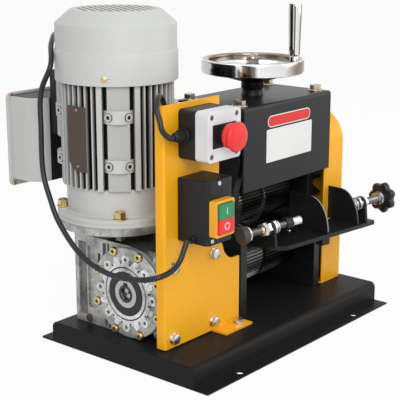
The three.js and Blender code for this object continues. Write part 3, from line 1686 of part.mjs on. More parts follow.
// The two keys of the switch, the start key above the stop key
function switchKey(low, high) {
  return block(
    frameLeft + frameRim + keyGap,
    frameRight - frameRim - keyGap,
    frameFace - keyProud,
    recessFloor - keyBack,
    low,
    high,
  );
}
const keyMiddle = (frameLow + frameHigh) / 2;
const startKey = switchKey(keyMiddle + keyGap / 2, frameHigh - frameRim - keyGap);
const stopKey = switchKey(frameLow + frameRim + keyGap, keyMiddle - keyGap / 2);
add(switchGroup, 'start_button', startKey, greenPlastic);
add(switchGroup, 'stop_key', stopKey, redPlastic);

// The free cables, along their routes in tray coordinates
function cable(points) {
  const path = new THREE.CatmullRomCurve3(points.map((point) => axis(...point)), false, 'centripetal');
  const section = outline(around(cableSides).map(([c, s]) => [cableRadius * c, cableRadius * s]));
  const steps = Math.ceil(path.getLength() / (5.5 * cableRadius));
  const geometry = new THREE.ExtrudeGeometry(section, { steps, extrudePath: path, bevelEnabled: false });
  return toSolid(geometry);
}
const glandTip = glandLength + fit;
const switchCableStart = [
  switchX - switchHalfX - switchOutletLength - fit,
  frameFront - switchOutletSetback,
  switchZ - switchOutletDrop,
];
const stopCableStart = [stopX - stopHalfX - glandTip, frameFront - stopGlandSetback, stopZ];
const boxCableEnd = [
  gearboxX + boxGlandX,
  gearboxY + centreDistance + boxGlandY,
  outputZ + flangeTop + boxHigh + glandTip,
];
const grommetEnd = [grommetPlace[0], panelBack + grommetRise + fit, grommetPlace[1]];
const leadIn = 6;
const shifted = ([x, y, z], dx, dy, dz) => [x + dx * leadIn, y + dy * leadIn, z + dz * leadIn];
add(machine, 'switch_cable', cable([
  switchCableStart,
  shifted(switchCableStart, -1, 0, 0),
  [26, 62, 179],
  [18, 62, 166],
  [4, 62.5, 156.5],
  [-19, 67, 151.5],
  [-30, 94, 145.5],
  [-31, 147, 143.6],
  [-31, 194, 158],
  [-30, 238.5, 198],
  [-28, 256, 227],
  [-24, 272, 258],
  [-18, 280, 318],
  [-12, 284, 368],
  [-4, 272, 404],
  [22, 298, 428],
  [60, 328, 438],
  [98, 346, 424],
  shifted(boxCableEnd, 0, 0, 1),
  boxCableEnd,
]), blackRubber);
add(machine, 'stop_cable', cable([
  stopCableStart,
  shifted(stopCableStart, -1, 0, 0),
  [5.5, 79, 336],
  [5.5, 84, 350],
  [8, 91, 364],
  [17, 97, 374],
  [28, 103, 375.5],
  [39, 108, 368],
  [46, 110, 350],
  [52, 110, 300],
  [62, 109, 250],
  shifted(grommetEnd, 0, 1, 0),
  grommetEnd,
]), blackRubber);

export default machine;
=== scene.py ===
import math

import bmesh
import bpy
from mathutils import Matrix, Vector


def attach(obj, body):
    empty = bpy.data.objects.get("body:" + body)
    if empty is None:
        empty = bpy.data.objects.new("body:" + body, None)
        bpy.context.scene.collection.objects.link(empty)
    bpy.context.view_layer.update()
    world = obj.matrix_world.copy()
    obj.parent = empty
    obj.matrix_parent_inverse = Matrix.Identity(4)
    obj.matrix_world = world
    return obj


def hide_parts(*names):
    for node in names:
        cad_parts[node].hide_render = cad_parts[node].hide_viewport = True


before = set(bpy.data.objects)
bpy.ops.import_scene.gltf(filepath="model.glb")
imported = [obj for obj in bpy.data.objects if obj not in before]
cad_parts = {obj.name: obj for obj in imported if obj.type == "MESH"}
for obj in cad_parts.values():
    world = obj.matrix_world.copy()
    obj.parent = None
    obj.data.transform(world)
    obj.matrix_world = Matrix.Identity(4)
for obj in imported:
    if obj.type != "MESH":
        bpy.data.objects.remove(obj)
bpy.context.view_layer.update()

bl_info = {
    "name": "Wire stripping machine",
    "version": (1, 0, 0),
    "blender": (4, 5, 0),
    "location": "3D View > Sidebar > Wire Stripper",
    "description": "Dresses the packed wire stripping machine with detailed pieces and finishes",
    "category": "Add Mesh",
}


# ---------------------------------------------------------------- sizes and colours

def colour(name, description, value):
    return bpy.props.FloatVectorProperty(
        name=name, description=description, default=value, subtype="COLOR", size=3, min=0, max=1)


def length(name, description, millimetres):
    return bpy.props.FloatProperty(
        name=name, description=description, default=millimetres / 1000, min=0.0, precision=5, unit="LENGTH")


def mm(metres):
    """Millimetres, without the digits that a property's single precision adds."""
    return round(metres * 1000, 4)


def count(name, description, value, least):
    return bpy.props.IntProperty(name=name, description=description, default=value, min=least)


def power(name, description, watts):
    return bpy.props.FloatProperty(name=name, description=description, default=watts, min=0.0, unit="POWER")


class StripperPaint(bpy.types.PropertyGroup):
    black: colour("Black enamel", "Paint of the tray, the head and the guide table", (0.013, 0.013, 0.014))
    yellow: colour("Yellow enamel", "Paint of the drive panel and the gear guard", (0.99, 0.44, 0.012))
    motor: colour("Motor grey", "Paint of the motor and its terminal box", (0.58, 0.59, 0.575))
    lid: colour("Lid grey", "Plastic of the stop box lid", (0.74, 0.75, 0.76))
    red: colour("Stop red", "Plastic of the mushroom cap and the stop key", (0.80, 0.035, 0.035))
    green: colour("Start green", "Plastic of the start key", (0.03, 0.25, 0.10))


class StripperMotor(bpy.types.PropertyGroup):
    fins: count("Fins", "Cooling fins round the frame", 48, 24)
    fin_half: length("Half fin", "Half the thickness of one fin", 1.05)
    fin_reach: length("Fin radius", "Radius over the fins", 80.0)
    slots: count("Cowl slots", "Slots in the top of the cowl", 11, 3)


class StripperRollers(bpy.types.PropertyGroup):
    lower_flutes: count("Lower flutes", "Flutes round the lower roller", 54, 12)
    upper_flutes: count("Upper flutes", "Flutes round the upper roller", 48, 12)
    flute_depth: length("Flute depth", "Depth of one flute", 2.2)


class StripperStage(bpy.types.PropertyGroup):
    key: power("Key light", "Power of the key light", 42.0)
    fill: power("Fill light", "Power of the fill light", 16.0)
    top: power("Top light", "Power of the top light", 7.0)
    sky: bpy.props.FloatProperty(
        name="Sky", description="Strength of the even light from all round", default=0.42, subtype="FACTOR",
        min=0.0, max=1.0)


# ---------------------------------------------------------------- places

TRAY_LENGTH, TRAY_DEPTH = 450, 315
FLANGE_MIDDLE = 11.5


def home(x=0.0, y=0.0, z=0.0, turn=0.0):
    """From a group's own millimetres, in the tray's coordinates, to the frame's metres."""
    scale = Matrix.Scale(0.001, 4)
    place = Matrix.Translation((x - TRAY_LENGTH / 2, y - FLANGE_MIDDLE, z))
    return scale @ place @ Matrix.Rotation(math.radians(turn), 4, "Z")


TRAY = home()
DRIVE = home(76, 163, 97)
MOTOR = home(76, 226, 190)
HEAD = home(282.5, 88, 32)
WHEEL = home(282.5, 148, 352.5)
LOWER_ROLLER = home(282.5, 163, 97)
UPPER_ROLLER = home(282.5, 163, 185)
TABLE = home(320, 50.7, 139, -7)
ROD = TABLE @ Matrix.Translation((0, 0, 27))
STOP = home(79, 88, 326)
SWITCH = home(70, 88, 226)

X, Y, Z = Vector((1, 0, 0)), Vector((0, 1, 0)), Vector((0, 0, 1))
SIDES = ((-1, "left"), (1, "right"))


# ---------------------------------------------------------------- shader expressions

class Signal:
    """A node socket that Python arithmetic works on; each operator adds one Math node."""

    def __init__(self, shader, socket):
        self.shader = shader
        self.socket = socket

    def math(self, operation, other, clamp=False):
        return self.shader.math(operation, self, other, clamp)

    def __add__(self, other): return self.math("ADD", other)
    def __mul__(self, other): return self.math("MULTIPLY", other)
    def __sub__(self, other): return self.math("SUBTRACT", other)
    def __rsub__(self, other): return self.shader.math("SUBTRACT", other, self)
    __radd__ = __add__
    __rmul__ = __mul__

    def clamped(self):
        return self.math("ADD", 0.0, True)


class Shader:
    """One material's node tree, or the world's."""

    def __init__(self, tree):
        self.tree = tree
        tree.nodes.clear()

    def node(self, kind, settings=None, sockets=None):
        node = self.tree.nodes.new(kind)
        for name, value in (settings or {}).items():
            if name == "stops":
                self.stops(node.color_ramp, value)
            else:
                setattr(node, name, value)
        for key, value in (sockets or {}).items():
            self.feed(self.socket(node, key), value)
        return node

    @staticmethod
    def stops(ramp, stops):
        while len(ramp.elements) < len(stops):
            ramp.elements.new(0.5)
        for element, (position, tone) in zip(ramp.elements, stops):
            element.position = position
            element.color = (tone, tone, tone, 1) if isinstance(tone, (int, float)) else (*tone, 1)

    @staticmethod
    def socket(node, key):
        if isinstance(key, int):
            return node.inputs[key]
        return next(s for s in node.inputs if key in (s.identifier, s.name))

    def feed(self, socket, value):
        if isinstance(value, Signal):
            self.tree.links.new(value.socket, socket)
        elif isinstance(value, (tuple, list)) and len(value) == 3 and socket.type == "RGBA":
            socket.default_value = (*value, 1)
        else:
            socket.default_value = value

    def math(self, operation, a, b, clamp=False):
        return self.out(self.node("ShaderNodeMath", {"operation": operation, "use_clamp": clamp}, {0: a, 1: b}))

    def out(self, node, name=0):
        if isinstance(name, int):
            return Signal(self, node.outputs[name])
        return Signal(self, next(s for s in node.outputs if name in (s.identifier, s.name)))

    def noise(self, scale, detail=3.0, rough=0.55, stretch=(1, 1, 1)):
        place = self.node("ShaderNodeTexCoord")
        spread = self.node("ShaderNodeMapping", None, {"Vector": self.out(place, "Object"), "Scale": stretch})
        sockets = {"Vector": self.out(spread), "Scale": scale, "Detail": detail, "Roughness": rough}
        return self.out(self.node("ShaderNodeTexNoise", None, sockets), "Fac")

    def away(self, middle, keep):
        """Distance in metres from an axis: keep is 0 along the axis, and 1 across it."""
        place = self.node("ShaderNodeTexCoord")
        offset = tuple(-m * k for m, k in zip(middle, keep))
        spread = self.node("ShaderNodeMapping", None,
                           {"Vector": self.out(place, "Object"), "Scale": keep, "Location": offset})
        node = self.node("ShaderNodeVectorMath", {"operation": "LENGTH"}, {0: self.out(spread)})
        return self.out(node, "Value")

    def facing(self, x, y, z):
        """How far the surface faces a direction of the room, from -1 to 1."""
        normal = self.out(self.node("ShaderNodeNewGeometry"), "Normal")
        node = self.node("ShaderNodeVectorMath", {"operation": "DOT_PRODUCT"}, {0: normal, 1: (x, y, z)})
        return self.out(node, "Value")

    def ramp(self, signal, stops):
        return self.out(self.node("ShaderNodeValToRGB", {"stops": stops}, {"Fac": signal}), "Color")

    def mix(self, factor, a, b):
        node = self.node("ShaderNodeMix", {"data_type": "RGBA"},
                         {"Factor_Float": factor, "A_Color": a, "B_Color": b})
        return self.out(node, "Result_Color")

    def bump(self, height, strength, distance):
        node = self.node("ShaderNodeBump", None, {"Height": height, "Strength": strength, "Distance": distance})
        return self.out(node)

    def surface(self, **sockets):
        names = {name.replace("_", " ").title().replace("Ior", "IOR"): value for name, value in sockets.items()}
        self.end("ShaderNodeOutputMaterial", self.node("ShaderNodeBsdfPrincipled", None, names))

    def end(self, kind, shader):
        self.node(kind, None, {"Surface": self.out(shader)})

    def seen(self):
        """1 where the camera sees a thing straight or in a mirror, and 0 where it only lights."""
        path = self.node("ShaderNodeLightPath")
        return self.out(path, "Is Camera Ray").math("MAXIMUM", self.out(path, "Is Glossy Ray")), path


# Radii in metres: where the painted shade between the motor's fins begins, and where the wheel leaves its shaft
FIN_SHADE_RADIUS = 0.0735
SHAFT_RADIUS = 0.0215
# The way across the room that the painted reflection bands in the plating follow, half a metre long
REFLECTION_WAY = (0.3205, -0.384, 0)


def shade(tone, factor):
    return tuple(min(1.0, c * factor) for c in tone)


FINISHES = {}


def finish(name):
    """The material of that name, made the first time it is asked for."""
    if name not in FINISHES:
        material = bpy.data.materials.new(name)
        material.use_nodes = True
        RECIPES[name](Shader(material.node_tree))
        FINISHES[name] = material
    return FINISHES[name]


def enamel(tone, roughness, coat, peel, shine):
    """Sprayed gloss paint: slight orange peel, faint dust and small changes of tone."""
    def build(s):
        cloud = s.noise(9.0, 4.0)
        dust = s.ramp(s.noise(160.0, 5.0, 0.7), [(0.52, 0.0), (0.80, 1.0)])
        tint = s.mix(cloud, shade(tone, 0.9), shade(tone, 1.1))
        base = s.mix(dust * 0.10, tint, shade([c + 0.04 for c in tone], 1.25))
        peeled = s.bump(s.noise(420.0, 2.0), peel, 0.0004)
        s.surface(base_color=base, roughness=cloud * 0.08 + (roughness - 0.04) + dust * 0.05,
                  coat_weight=coat, coat_roughness=0.12, specular_ior_level=shine, normal=peeled)
    return build


def plastic(tone, roughness=0.42, grain=0.10, fine=1400.0, shine=0.3):
    """Moulded plastic with a fine spark texture."""
    def build(s):
        cloud = s.noise(14.0, 3.0)
        base = s.mix(cloud, shade(tone, 0.93), shade(tone, 1.07))
        s.surface(base_color=base, roughness=cloud * 0.08 + (roughness - 0.04), specular_ior_level=shine,
                  normal=s.bump(s.noise(fine, 2.0), grain, 0.0003))
    return build


def metal(tone, roughness, spread=0.12, grain=0.05, fine=900.0, stretch=(1, 1, 1), stain=0.9):
    """Bare or plated metal: streaked roughness, a fine grain and a faint stain."""
    def build(s):
        streak = s.noise(fine * 0.12, 5.0, 0.65, stretch)
        cloud = s.noise(16.0, 3.0)
        base = s.mix(cloud, shade(tone, stain), tone)
        s.surface(base_color=base, metallic=1.0, roughness=streak * spread + (roughness - spread / 2),
                  normal=s.bump(s.noise(fine, 3.0, 0.6, stretch), grain, 0.0003))
    return build


def casting(tone, roughness=0.45, metallic=0.85):
    """Shot-blasted die casting: a sandy skin with polished high spots."""
    def build(s):
        sand = s.noise(1500.0, 4.0, 0.7)
        cloud = s.noise(26.0, 6.0, 0.65)
        blotch = s.ramp(cloud, [(0.34, shade(tone, 0.45)), (0.46, shade(tone, 0.85)), (0.60, shade(tone, 1.2))])
        base = s.mix(s.ramp(s.noise(140.0, 4.0, 0.7), [(0.36, 0.55), (0.5, 0.0)]), blotch, shade(tone, 0.4))
        s.surface(base_color=base, metallic=metallic, roughness=cloud * 0.22 + (roughness - 0.1),
                  normal=s.bump(sand * 0.6 + s.noise(260.0, 3.0) * 0.4, 0.3, 0.0008))
    return build


def cast_paint(tone, fins=False):
    """Semi-gloss paint over a cast or pressed motor part, with random dust; painted shade darkens the gaps
    between the fins.
    """
    def build(s):
        cloud = s.noise(11.0, 4.0)
        dust = s.ramp(s.noise(90.0, 5.0, 0.7), [(0.5, 0.0), (0.85, 1.0)])
        tint = s.mix(cloud, shade(tone, 0.93), shade(tone, 1.05))
        base = s.mix(dust * 0.18, tint, shade(tone, 0.8))
        if fins:
            # painted shade: near black at the roots of the fins, inside the shade radius
            gap = (s.away(MOTOR.translation, (1, 1, 0)) - FIN_SHADE_RADIUS) * 150
            base = s.mix(gap.clamped(), (0.016, 0.015, 0.014), base)
        s.surface(base_color=base, roughness=cloud * 0.1 + 0.36, specular_ior_level=0.35,
                  normal=s.bump(s.noise(520.0, 3.0), 0.14, 0.0005))
    return build


def chrome(low, high, warm):
    """Bright plating with painted reflections: upright sides get painted bands of a dark room, and level faces
    a painted highlight.
    """
    def build(s):
        smear = s.noise(38.0, 4.0, 0.7, (1, 1, 0.25))
        across = s.facing(*REFLECTION_WAY) + smear * 0.05 + 0.475
        dim = shade(high, 0.6)
        # painted reflection: dark, light and brown bands fixed to the room's directions
        reflection_bands = s.ramp(across, [
            (0.0, dim), (0.09, dim), (0.11, low), (0.32, low), (0.335, high), (0.375, high), (0.39, warm),
            (0.44, low), (0.50, warm), (0.53, high), (0.78, shade(high, 0.9)), (0.90, warm)])
        # painted highlight on the faces that look up
        level = s.facing(0, 0, 1)
        base = s.mix((level * level * 1.6 - 0.2).clamped(), reflection_bands, high)
        s.surface(base_color=base, metallic=1.0, roughness=smear * 0.08 + 0.08,
                  normal=s.bump(s.noise(60.0, 2.0), 0.05, 0.001))
    return build


def shaft_and_wheel(s):
    """Steel hollow shaft inside a bronze wheel."""
    worn = s.noise(180.0, 5.0, 0.65)
    rim = ((s.away(DRIVE.translation, (0, 1, 1)) - SHAFT_RADIUS) * 2000).clamped()
    base = s.mix(rim, s.mix(worn, (0.34, 0.34, 0.34), (0.56, 0.56, 0.56)), (0.56, 0.36, 0.13))
    s.surface(base_color=base, metallic=1.0, roughness=worn * 0.2 + 0.24,
              normal=s.bump(s.noise(900.0, 3.0), 0.06, 0.0003))


def floor_shade(s):
    """Pale floor: near white to the camera, and grey to the light, so the shadow stays."""
    seen = s.seen()[0]
    lit = s.node("ShaderNodeBsdfDiffuse", None, {"Color": (0.86, 0.86, 0.86)})
    glow = s.node("ShaderNodeEmission", None, {"Color": (1, 1, 1), "Strength": 1.0})
    s.end("ShaderNodeOutputMaterial",
          s.node("ShaderNodeMixShader", None, {"Fac": seen * 0.94, 1: s.out(lit), 2: s.out(glow)}))


def paint(pot, make, *settings):
    """A finish whose colour comes from the paint group."""
    return lambda s: make(tuple(getattr(bpy.context.scene.stripper_paint, pot)), *settings)(s)


RECIPES = {
    "black_enamel": paint("black", enamel, 0.34, 0.05, 0.12, 0.2),
    "tray_enamel": paint("black", enamel, 0.4, 0.0, 0.12, 0.08),
    "yellow_enamel": paint("yellow", enamel, 0.36, 0.06, 0.08, 0.28),
    "motor_paint": paint("motor", cast_paint),
    "fin_paint": paint("motor", cast_paint, True),
    "lid_plastic": paint("lid", plastic, 0.42, 0.06, 1400.0, 0.4),
    "red_plastic": paint("red", plastic, 0.34, 0.05),
    "green_plastic": paint("green", plastic, 0.32, 0.05),
    "black_plastic": plastic((0.012, 0.012, 0.013), 0.44, 0.12, 1400.0, 0.26),
    "knob_plastic": plastic((0.012, 0.012, 0.013), 0.28, 0.08, 1400.0, 0.4),
    "brown_plastic": plastic((0.055, 0.050, 0.046), 0.4, 0.12, 900.0, 0.4),
    "white_print": plastic((0.82, 0.82, 0.82), 0.5, 0.04),
    "label_white": plastic((0.80, 0.80, 0.79), 0.38, 0.04),
    "label_red": plastic((0.72, 0.03, 0.025), 0.38, 0.04),
    "yellow_plastic": plastic((0.88, 0.40, 0.03), 0.36, 0.06),
    "rubber": plastic((0.010, 0.010, 0.011), 0.36, 0.1, 900.0, 0.4),
    "cast_aluminium": casting((0.44, 0.45, 0.44), 0.45, 0.6),
    "cast_bright": casting((0.74, 0.75, 0.74), 0.4, 0.4),
    # painted shade for pocket floors, grooves, holes and screw seats
    "cast_shade": casting((0.19, 0.19, 0.185), 0.55, 0.5),
    "cast_dark": casting((0.055, 0.055, 0.053), 0.6, 0.3),
    "warm_zinc": metal((0.62, 0.56, 0.49), 0.24, 0.14, 0.05, 700.0, stain=0.5),
    "chrome": chrome((0.035, 0.040, 0.038), (0.88, 0.88, 0.88), (0.26, 0.21, 0.175)),
    "tarnished": metal((0.36, 0.30, 0.255), 0.16, 0.1, 0.02, 300.0, stain=0.4),
    "zinc": metal((0.66, 0.67, 0.69), 0.27, 0.16, 0.05, 900.0),
    "gold_zinc": metal((0.70, 0.52, 0.24), 0.28, 0.16, 0.05, 900.0, stain=0.8),
    "steel": metal((0.50, 0.50, 0.51), 0.30, 0.18, 0.06, 900.0, (1, 6, 6)),
    "nut_steel": metal((0.42, 0.37, 0.33), 0.26, 0.14, 0.03, 500.0, stain=0.45),
    "bright_edge": metal((0.70, 0.70, 0.70), 0.25, 0.1, 0.04),
    "dark_steel": metal((0.17, 0.165, 0.16), 0.34, 0.2, 0.08, 700.0),
    # near-black steel; on the upper roller it also stands for painted shade
    "black_steel": metal((0.022, 0.021, 0.020), 0.42, 0.2, 0.08, 700.0),
    "brown_steel": metal((0.23, 0.185, 0.15), 0.34, 0.2, 0.08, 700.0, stain=0.3),
    "worn_grey": plastic((0.30, 0.29, 0.28), 0.4, 0.1, 500.0),
    "worn_black": metal((0.16, 0.16, 0.16), 0.4, 0.2, 0.1, 500.0, stain=0.35),
    "shaft_and_wheel": shaft_and_wheel,
    "copper": metal((0.60, 0.24, 0.09), 0.34, 0.16, 0.1, 600.0),
    "brown_plate": plastic((0.075, 0.052, 0.042), 0.45, 0.12, 500.0),
    "floor": floor_shade,
}


# ---------------------------------------------------------------- shapes

def placed(name, data):
    """A new object in the scene."""
    obj = bpy.data.objects.new(name, data)
    bpy.context.scene.collection.objects.link(obj)
    return obj


def arc(u, v, radius, start, end, steps=8):
    """Points of an arc about (u, v), in degrees."""
    angles = [math.radians(start + (end - start) * i / steps) for i in range(steps + 1)]
    return [(u + radius * math.cos(a), v + radius * math.sin(a)) for a in angles]


def rounded(u0, u1, v0, v1, low_left, low_right, high_right, high_left, steps=8):
    """Rectangle with its own radius at each corner."""
    points = []
    for u, v, r, start in ((u1 - low_right, v0 + low_right, low_right, -90), (u1 - high_right, v1 - high_right,
                           high_right, 0), (u0 + high_left, v1 - high_left, high_left, 90),
                           (u0 + low_left, v0 + low_left, low_left, 180)):
        points += arc(u, v, r, start, start + 90, steps) if r > 0 else [(u, v)]
    return points


def even(u0, u1, v0, v1, r, steps=8):
    return rounded(u0, u1, v0, v1, r, r, r, r, steps)


class Form:
    """The faces of one piece, in its group's millimetres."""

    def __init__(self):
        self.mesh = bmesh.new()
        self.paints = []

    def index(self, name):
        if name not in self.paints:
            self.paints.append(name)
        return self.paints.index(name)

    def face(self, verts, index):
        if len(set(verts)) > 2:
            made = self.mesh.faces.new(verts)
            made.material_index = index
            made.smooth = True

    def skin(self, rings, name, closed=False, caps=True):
        """Rings of points joined side to side."""
        index = self.index(name)
        loops = [[self.mesh.verts.new(p) for p in ring] for ring in rings]
        pairs = list(zip(loops, loops[1:])) + ([(loops[-1], loops[0])] if closed else [])
        for a, b in pairs:
            n = max(len(a), len(b))
            for i in range(n):
                j = (i + 1) % n
                corners = [a[i % len(a)], a[j % len(a)], b[j % len(b)], b[i % len(b)]]
                self.face(list(dict.fromkeys(corners)), index)
        if caps and not closed:
            for loop in (loops[0], loops[-1]):
                self.face(loop, index)
        return self

    def sheet(self, name, low, high):
        """Open strip of faces between two lines of points."""
        index = self.index(name)
        low, high = ([self.mesh.verts.new(p) for p in line] for line in (low, high))
        for i in range(len(low) - 1):
            self.face([low[i], low[i + 1], high[i + 1], high[i]], index)
        return self

    def turned(self, name, profile, place=(0, 0, 0), aim=Z, sides=64, start=0.0, caps=True):
        """A profile of (radius, height) pairs turned about a line; a closed one makes a ring."""
        turn = Z.rotation_difference(Vector(aim)).to_matrix()
        middle = Vector(place)
        ring_form = profile[0] == profile[-1] and profile[0][0] > 0
        rings = []
        for radius, height in profile[:-1] if ring_form else profile:
            count = sides if radius > 0 else 1
            angles = [start + 2 * math.pi * i / sides for i in range(count)]
            rings.append([middle + turn @ Vector((radius * math.cos(a), radius * math.sin(a), height))
                          for a in angles])
        return self.skin(rings, name, ring_form, caps and rings[0] != rings[-1] and profile[0][0] > 0)

    def bar(self, name, radius, low, high, place=(0, 0, 0), aim=Z, sides=48, edge=0.0):
        """Round or many-sided bar with a small chamfer at both ends."""
        profile = [(0, low), (radius - edge, low), (radius, low + edge), (radius, high - edge),
                   (radius - edge, high), (0, high)]
        return self.turned(name, list(dict.fromkeys(profile)), place, aim, sides)

    def ring(self, name, outer, inner, low, high, place=(0, 0, 0), aim=Z, sides=64, edge=0.0):
        e = edge
        profile = [(inner + e, low), (outer - e, low), (outer, low + e), (outer, high - e), (outer - e, high),
                   (inner + e, high), (inner, high - e), (inner, low + e), (inner + e, low)]
        return self.turned(name, list(dict.fromkeys(profile)) + [profile[0]], place, aim, sides)

    def drawn(self, name, points, low, high, along="z"):
        """A flat outline drawn out along an axis: its u, v are YZ, XZ or XY."""
        def place(u, v, w):
            return {"x": (w, u, v), "y": (u, w, v), "z": (u, v, w)}[along]
        rings = [[Vector(place(u, v, w)) for u, v in points] for w in (low, high)]
        return self.skin(rings, name)

    def block(self, name, x0, x1, y0, y1, z0, z1):
        return self.drawn(name, [(x0, y0), (x1, y0), (x1, y1), (x0, y1)], z0, z1)

    def hexagon(self, name, corner, low, high, place, aim, turn=0.0):
        """Hexagon head or nut with its corners turned off at both ends."""
        flat = corner * 0.93
        drop = (corner - flat) * 0.6
        profile = [(0, low), (flat, low), (corner, low + drop), (corner, high - drop), (flat, high), (0, high)]
        return self.turned(name, profile, place, aim, 6, turn)

    def bolt(self, place, aim, turn=0.3, head="zinc", washer="zinc", corner=7.5, high=5.3):
        """Hexagon bolt head on its washer."""
        self.ring(washer, corner + 0.5, 3.0, 0.0, 1.6, place, aim, 40, 0.3)
        self.hexagon(head, corner, 1.6, 1.6 + high, place, aim, turn)
        return self

    def cap(self, place, aim, name="zinc", radius=4.6, high=4.0, hole=2.3):
        """Socket head of a screw, with its hexagon hole."""
        e = radius * 0.09
        profile = [(0, high * 0.45), (hole, high * 0.45), (hole, high), (radius - e, high), (radius, high - e),
                   (radius, 0), (0, 0)]
        return self.turned(name, profile, place, aim, 24)

    def move(self, matrix):
        self.mesh.transform(matrix)
        return self

    def copy(self):
        other = Form()
        other.mesh = self.mesh.copy()
        other.paints = list(self.paints)
        return other

    def object(self, name, place):
        bmesh.ops.remove_doubles(self.mesh, verts=self.mesh.verts, dist=0.001)
        bmesh.ops.recalc_face_normals(self.mesh, faces=self.mesh.faces)
        self.mesh.transform(place)
        mesh = bpy.data.meshes.new(name)
        self.mesh.to_mesh(mesh)
        self.mesh.free()
        for paint_name in self.paints:
            mesh.materials.append(finish(paint_name))
        return placed(name, mesh)

    def put(self, name, place, *looks, **more):
        """The object, dressed."""
        dress(self.object(name, place), *looks, **more)


def settle(obj):
    """Replaces an object's mesh by what its modifiers make of it."""
    view = bpy.context.evaluated_depsgraph_get()
    mesh = bpy.data.meshes.new_from_object(obj.evaluated_get(view))
    old = obj.data
    obj.modifiers.clear()
    obj.data = mesh
    bpy.data.meshes.remove(old)


def combine(base, others, operation):
    """Joins or cuts a form with others, and gives the object back."""
    for other in others:
        step = base.modifiers.new("step", "BOOLEAN")
        step.operation = operation
        step.solver = "EXACT"
        step.object = other
    settle(base)
    for other in others:
        mesh = other.data
        bpy.data.objects.remove(other)
        bpy.data.meshes.remove(mesh)
    return base


def weld(name, place, joined, cuts, *looks, **more):
    """One dressed object: the first form is joined with the rest, then the cuts come off."""
    base = joined[0].object(name, place)
    if len(joined) > 1:
        combine(base, [form.object(name + "_add", place) for form in joined[1:]], "UNION")
    if cuts:
        combine(base, [form.object(name + "_cut", place) for form in cuts], "DIFFERENCE")
    dress(base, *looks, **more)


def dress(obj, slot, node="", bevel=0.0, steps=2, angle=38, body="frame"):
    """Edges, smoothing and the link to the frame."""
    mesh = obj.data
    for polygon in mesh.polygons:
        polygon.use_smooth = True
    mesh.set_sharp_from_angle(angle=math.radians(angle))
    if bevel:
        edge = obj.modifiers.new("edge", "BEVEL")
        edge.width = bevel / 1000
        edge.segments = steps
        edge.limit_method = "ANGLE"
        edge.angle_limit = math.radians(angle)
        edge.harden_normals = True
        edge.use_clamp_overlap = True
    link(obj, body, slot, node)


def link(obj, body, slot, node=""):
    """Attaches it to the body it rides on and hides the CAD node it stands for; its finish slot is not used."""
    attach(obj, body)
    if node:
        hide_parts(node)


def coat(node, name):
    """Gives a CAD node that stays its own finish."""
    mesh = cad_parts[node].data
    mesh.materials.clear()
    mesh.materials.append(finish(name))


class Builder:
    """What all of the machine's operators share."""
    bl_options = {"REGISTER", "UNDO"}

    def execute(self, context):
        self.build(context.scene)
        return {"FINISHED"}


# ---------------------------------------------------------------- stage and cables

# The photograph's camera: its lens in mm, its place in metres, its tilt in degrees and its turn
LENS = 98.1
CAMERA_PLACE = (-1.2251, -0.8330, 0.600)
CAMERA_TILT = 14.65
CAMERA_TURN = math.atan2(0.641, 0.768)
# Each lamp's size and place in metres, and the point that they all face
LAMPS = {"key": (1.7, (-1.6, -1.5, 1.7)), "fill": (1.9, (1.7, -1.6, 1.1)), "top": (1.6, (0.1, 0.5, 2.2))}
LIT = Vector((0.0, 0.15, 0.2))
# The floor lies just under the tray, so that the two never share a plane
FLOOR = -0.0006


class STRIPPER_OT_stage(Builder, bpy.types.Operator):
    """Camera, floor and soft studio light"""
    bl_idname = "stripper.stage"
    bl_label = "Stage"

    def build(self, scene):
        self.camera(scene)
        self.floor()
        self.sky(scene)
        for kind, (size, place) in LAMPS.items():
            self.lamp(kind + "_light", getattr(scene.stripper_stage, kind), size, place)
        scene.view_settings.view_transform = "Standard"

    @staticmethod
    def camera(scene):
        data = bpy.data.cameras.new("camera")
        data.lens = LENS
        data.sensor_width = 36.0
        data.clip_end = 60.0
        camera = placed("camera", data)
        camera.location = CAMERA_PLACE
        camera.rotation_euler = (math.radians(90 - CAMERA_TILT), 0, CAMERA_TURN - math.pi / 2)
        scene.camera = camera

    @staticmethod
    def floor():
        rows = [[(x, y, FLOOR) for x in (-25, 25)] for y in (-25, 25)]
        Form().sheet("floor", *rows).object("floor", Matrix.Identity(4))

    @staticmethod
    def sky(scene):
        scene.world = bpy.data.worlds.new("studio")
        scene.world.use_nodes = True
        s = Shader(scene.world.node_tree)
        seen, path = s.seen()
        seen = seen.math("MAXIMUM", s.out(path, "Is Transmission Ray"))
        sky = scene.stripper_stage.sky
        glow = s.node("ShaderNodeBackground", None, {"Color": (1, 1, 1), "Strength": seen * (1.0 - sky) + sky})
        s.end("ShaderNodeOutputWorld", glow)

    @staticmethod
    def lamp(name, power, size, place):
        data = bpy.data.lights.new(name, "AREA")
        data.energy = power
        data.shape = "SQUARE"
        data.size = size
        lamp = placed(name, data)
        lamp.location = place
        aim = LIT - Vector(place)
        lamp.rotation_euler = aim.to_track_quat("-Z", "Y").to_euler()


# Radius in metres, and the routes in the tray's millimetres
CABLE_RADIUS = 0.0037
SWITCH_ROUTE = [
    (38.7, 62, 189), (32.7, 62, 189), (26, 62, 179), (18, 62, 166), (4, 62.5, 156.5), (-19, 67, 151.5),
    (-30, 94, 145.5), (-31, 147, 143.6), (-31, 194, 158), (-30, 238.5, 198), (-28, 256, 227), (-24, 272, 258),
    (-18, 280, 318), (-12, 284, 368), (-4, 272, 404), (22, 298, 428), (60, 328, 438), (98, 346, 424),
    (118, 350, 378.3), (118, 350, 372.3),
]
STOP_ROUTE = [
    (22.7, 76, 326), (16.7, 76, 326), (5.5, 79, 336), (5.5, 84, 350), (8, 91, 364), (17, 97, 374),
    (28, 103, 375.5), (39, 108, 368), (46, 110, 350), (52, 110, 300), (62, 109, 250), (70, 102.3, 226),
    (70, 96.3, 226),
]


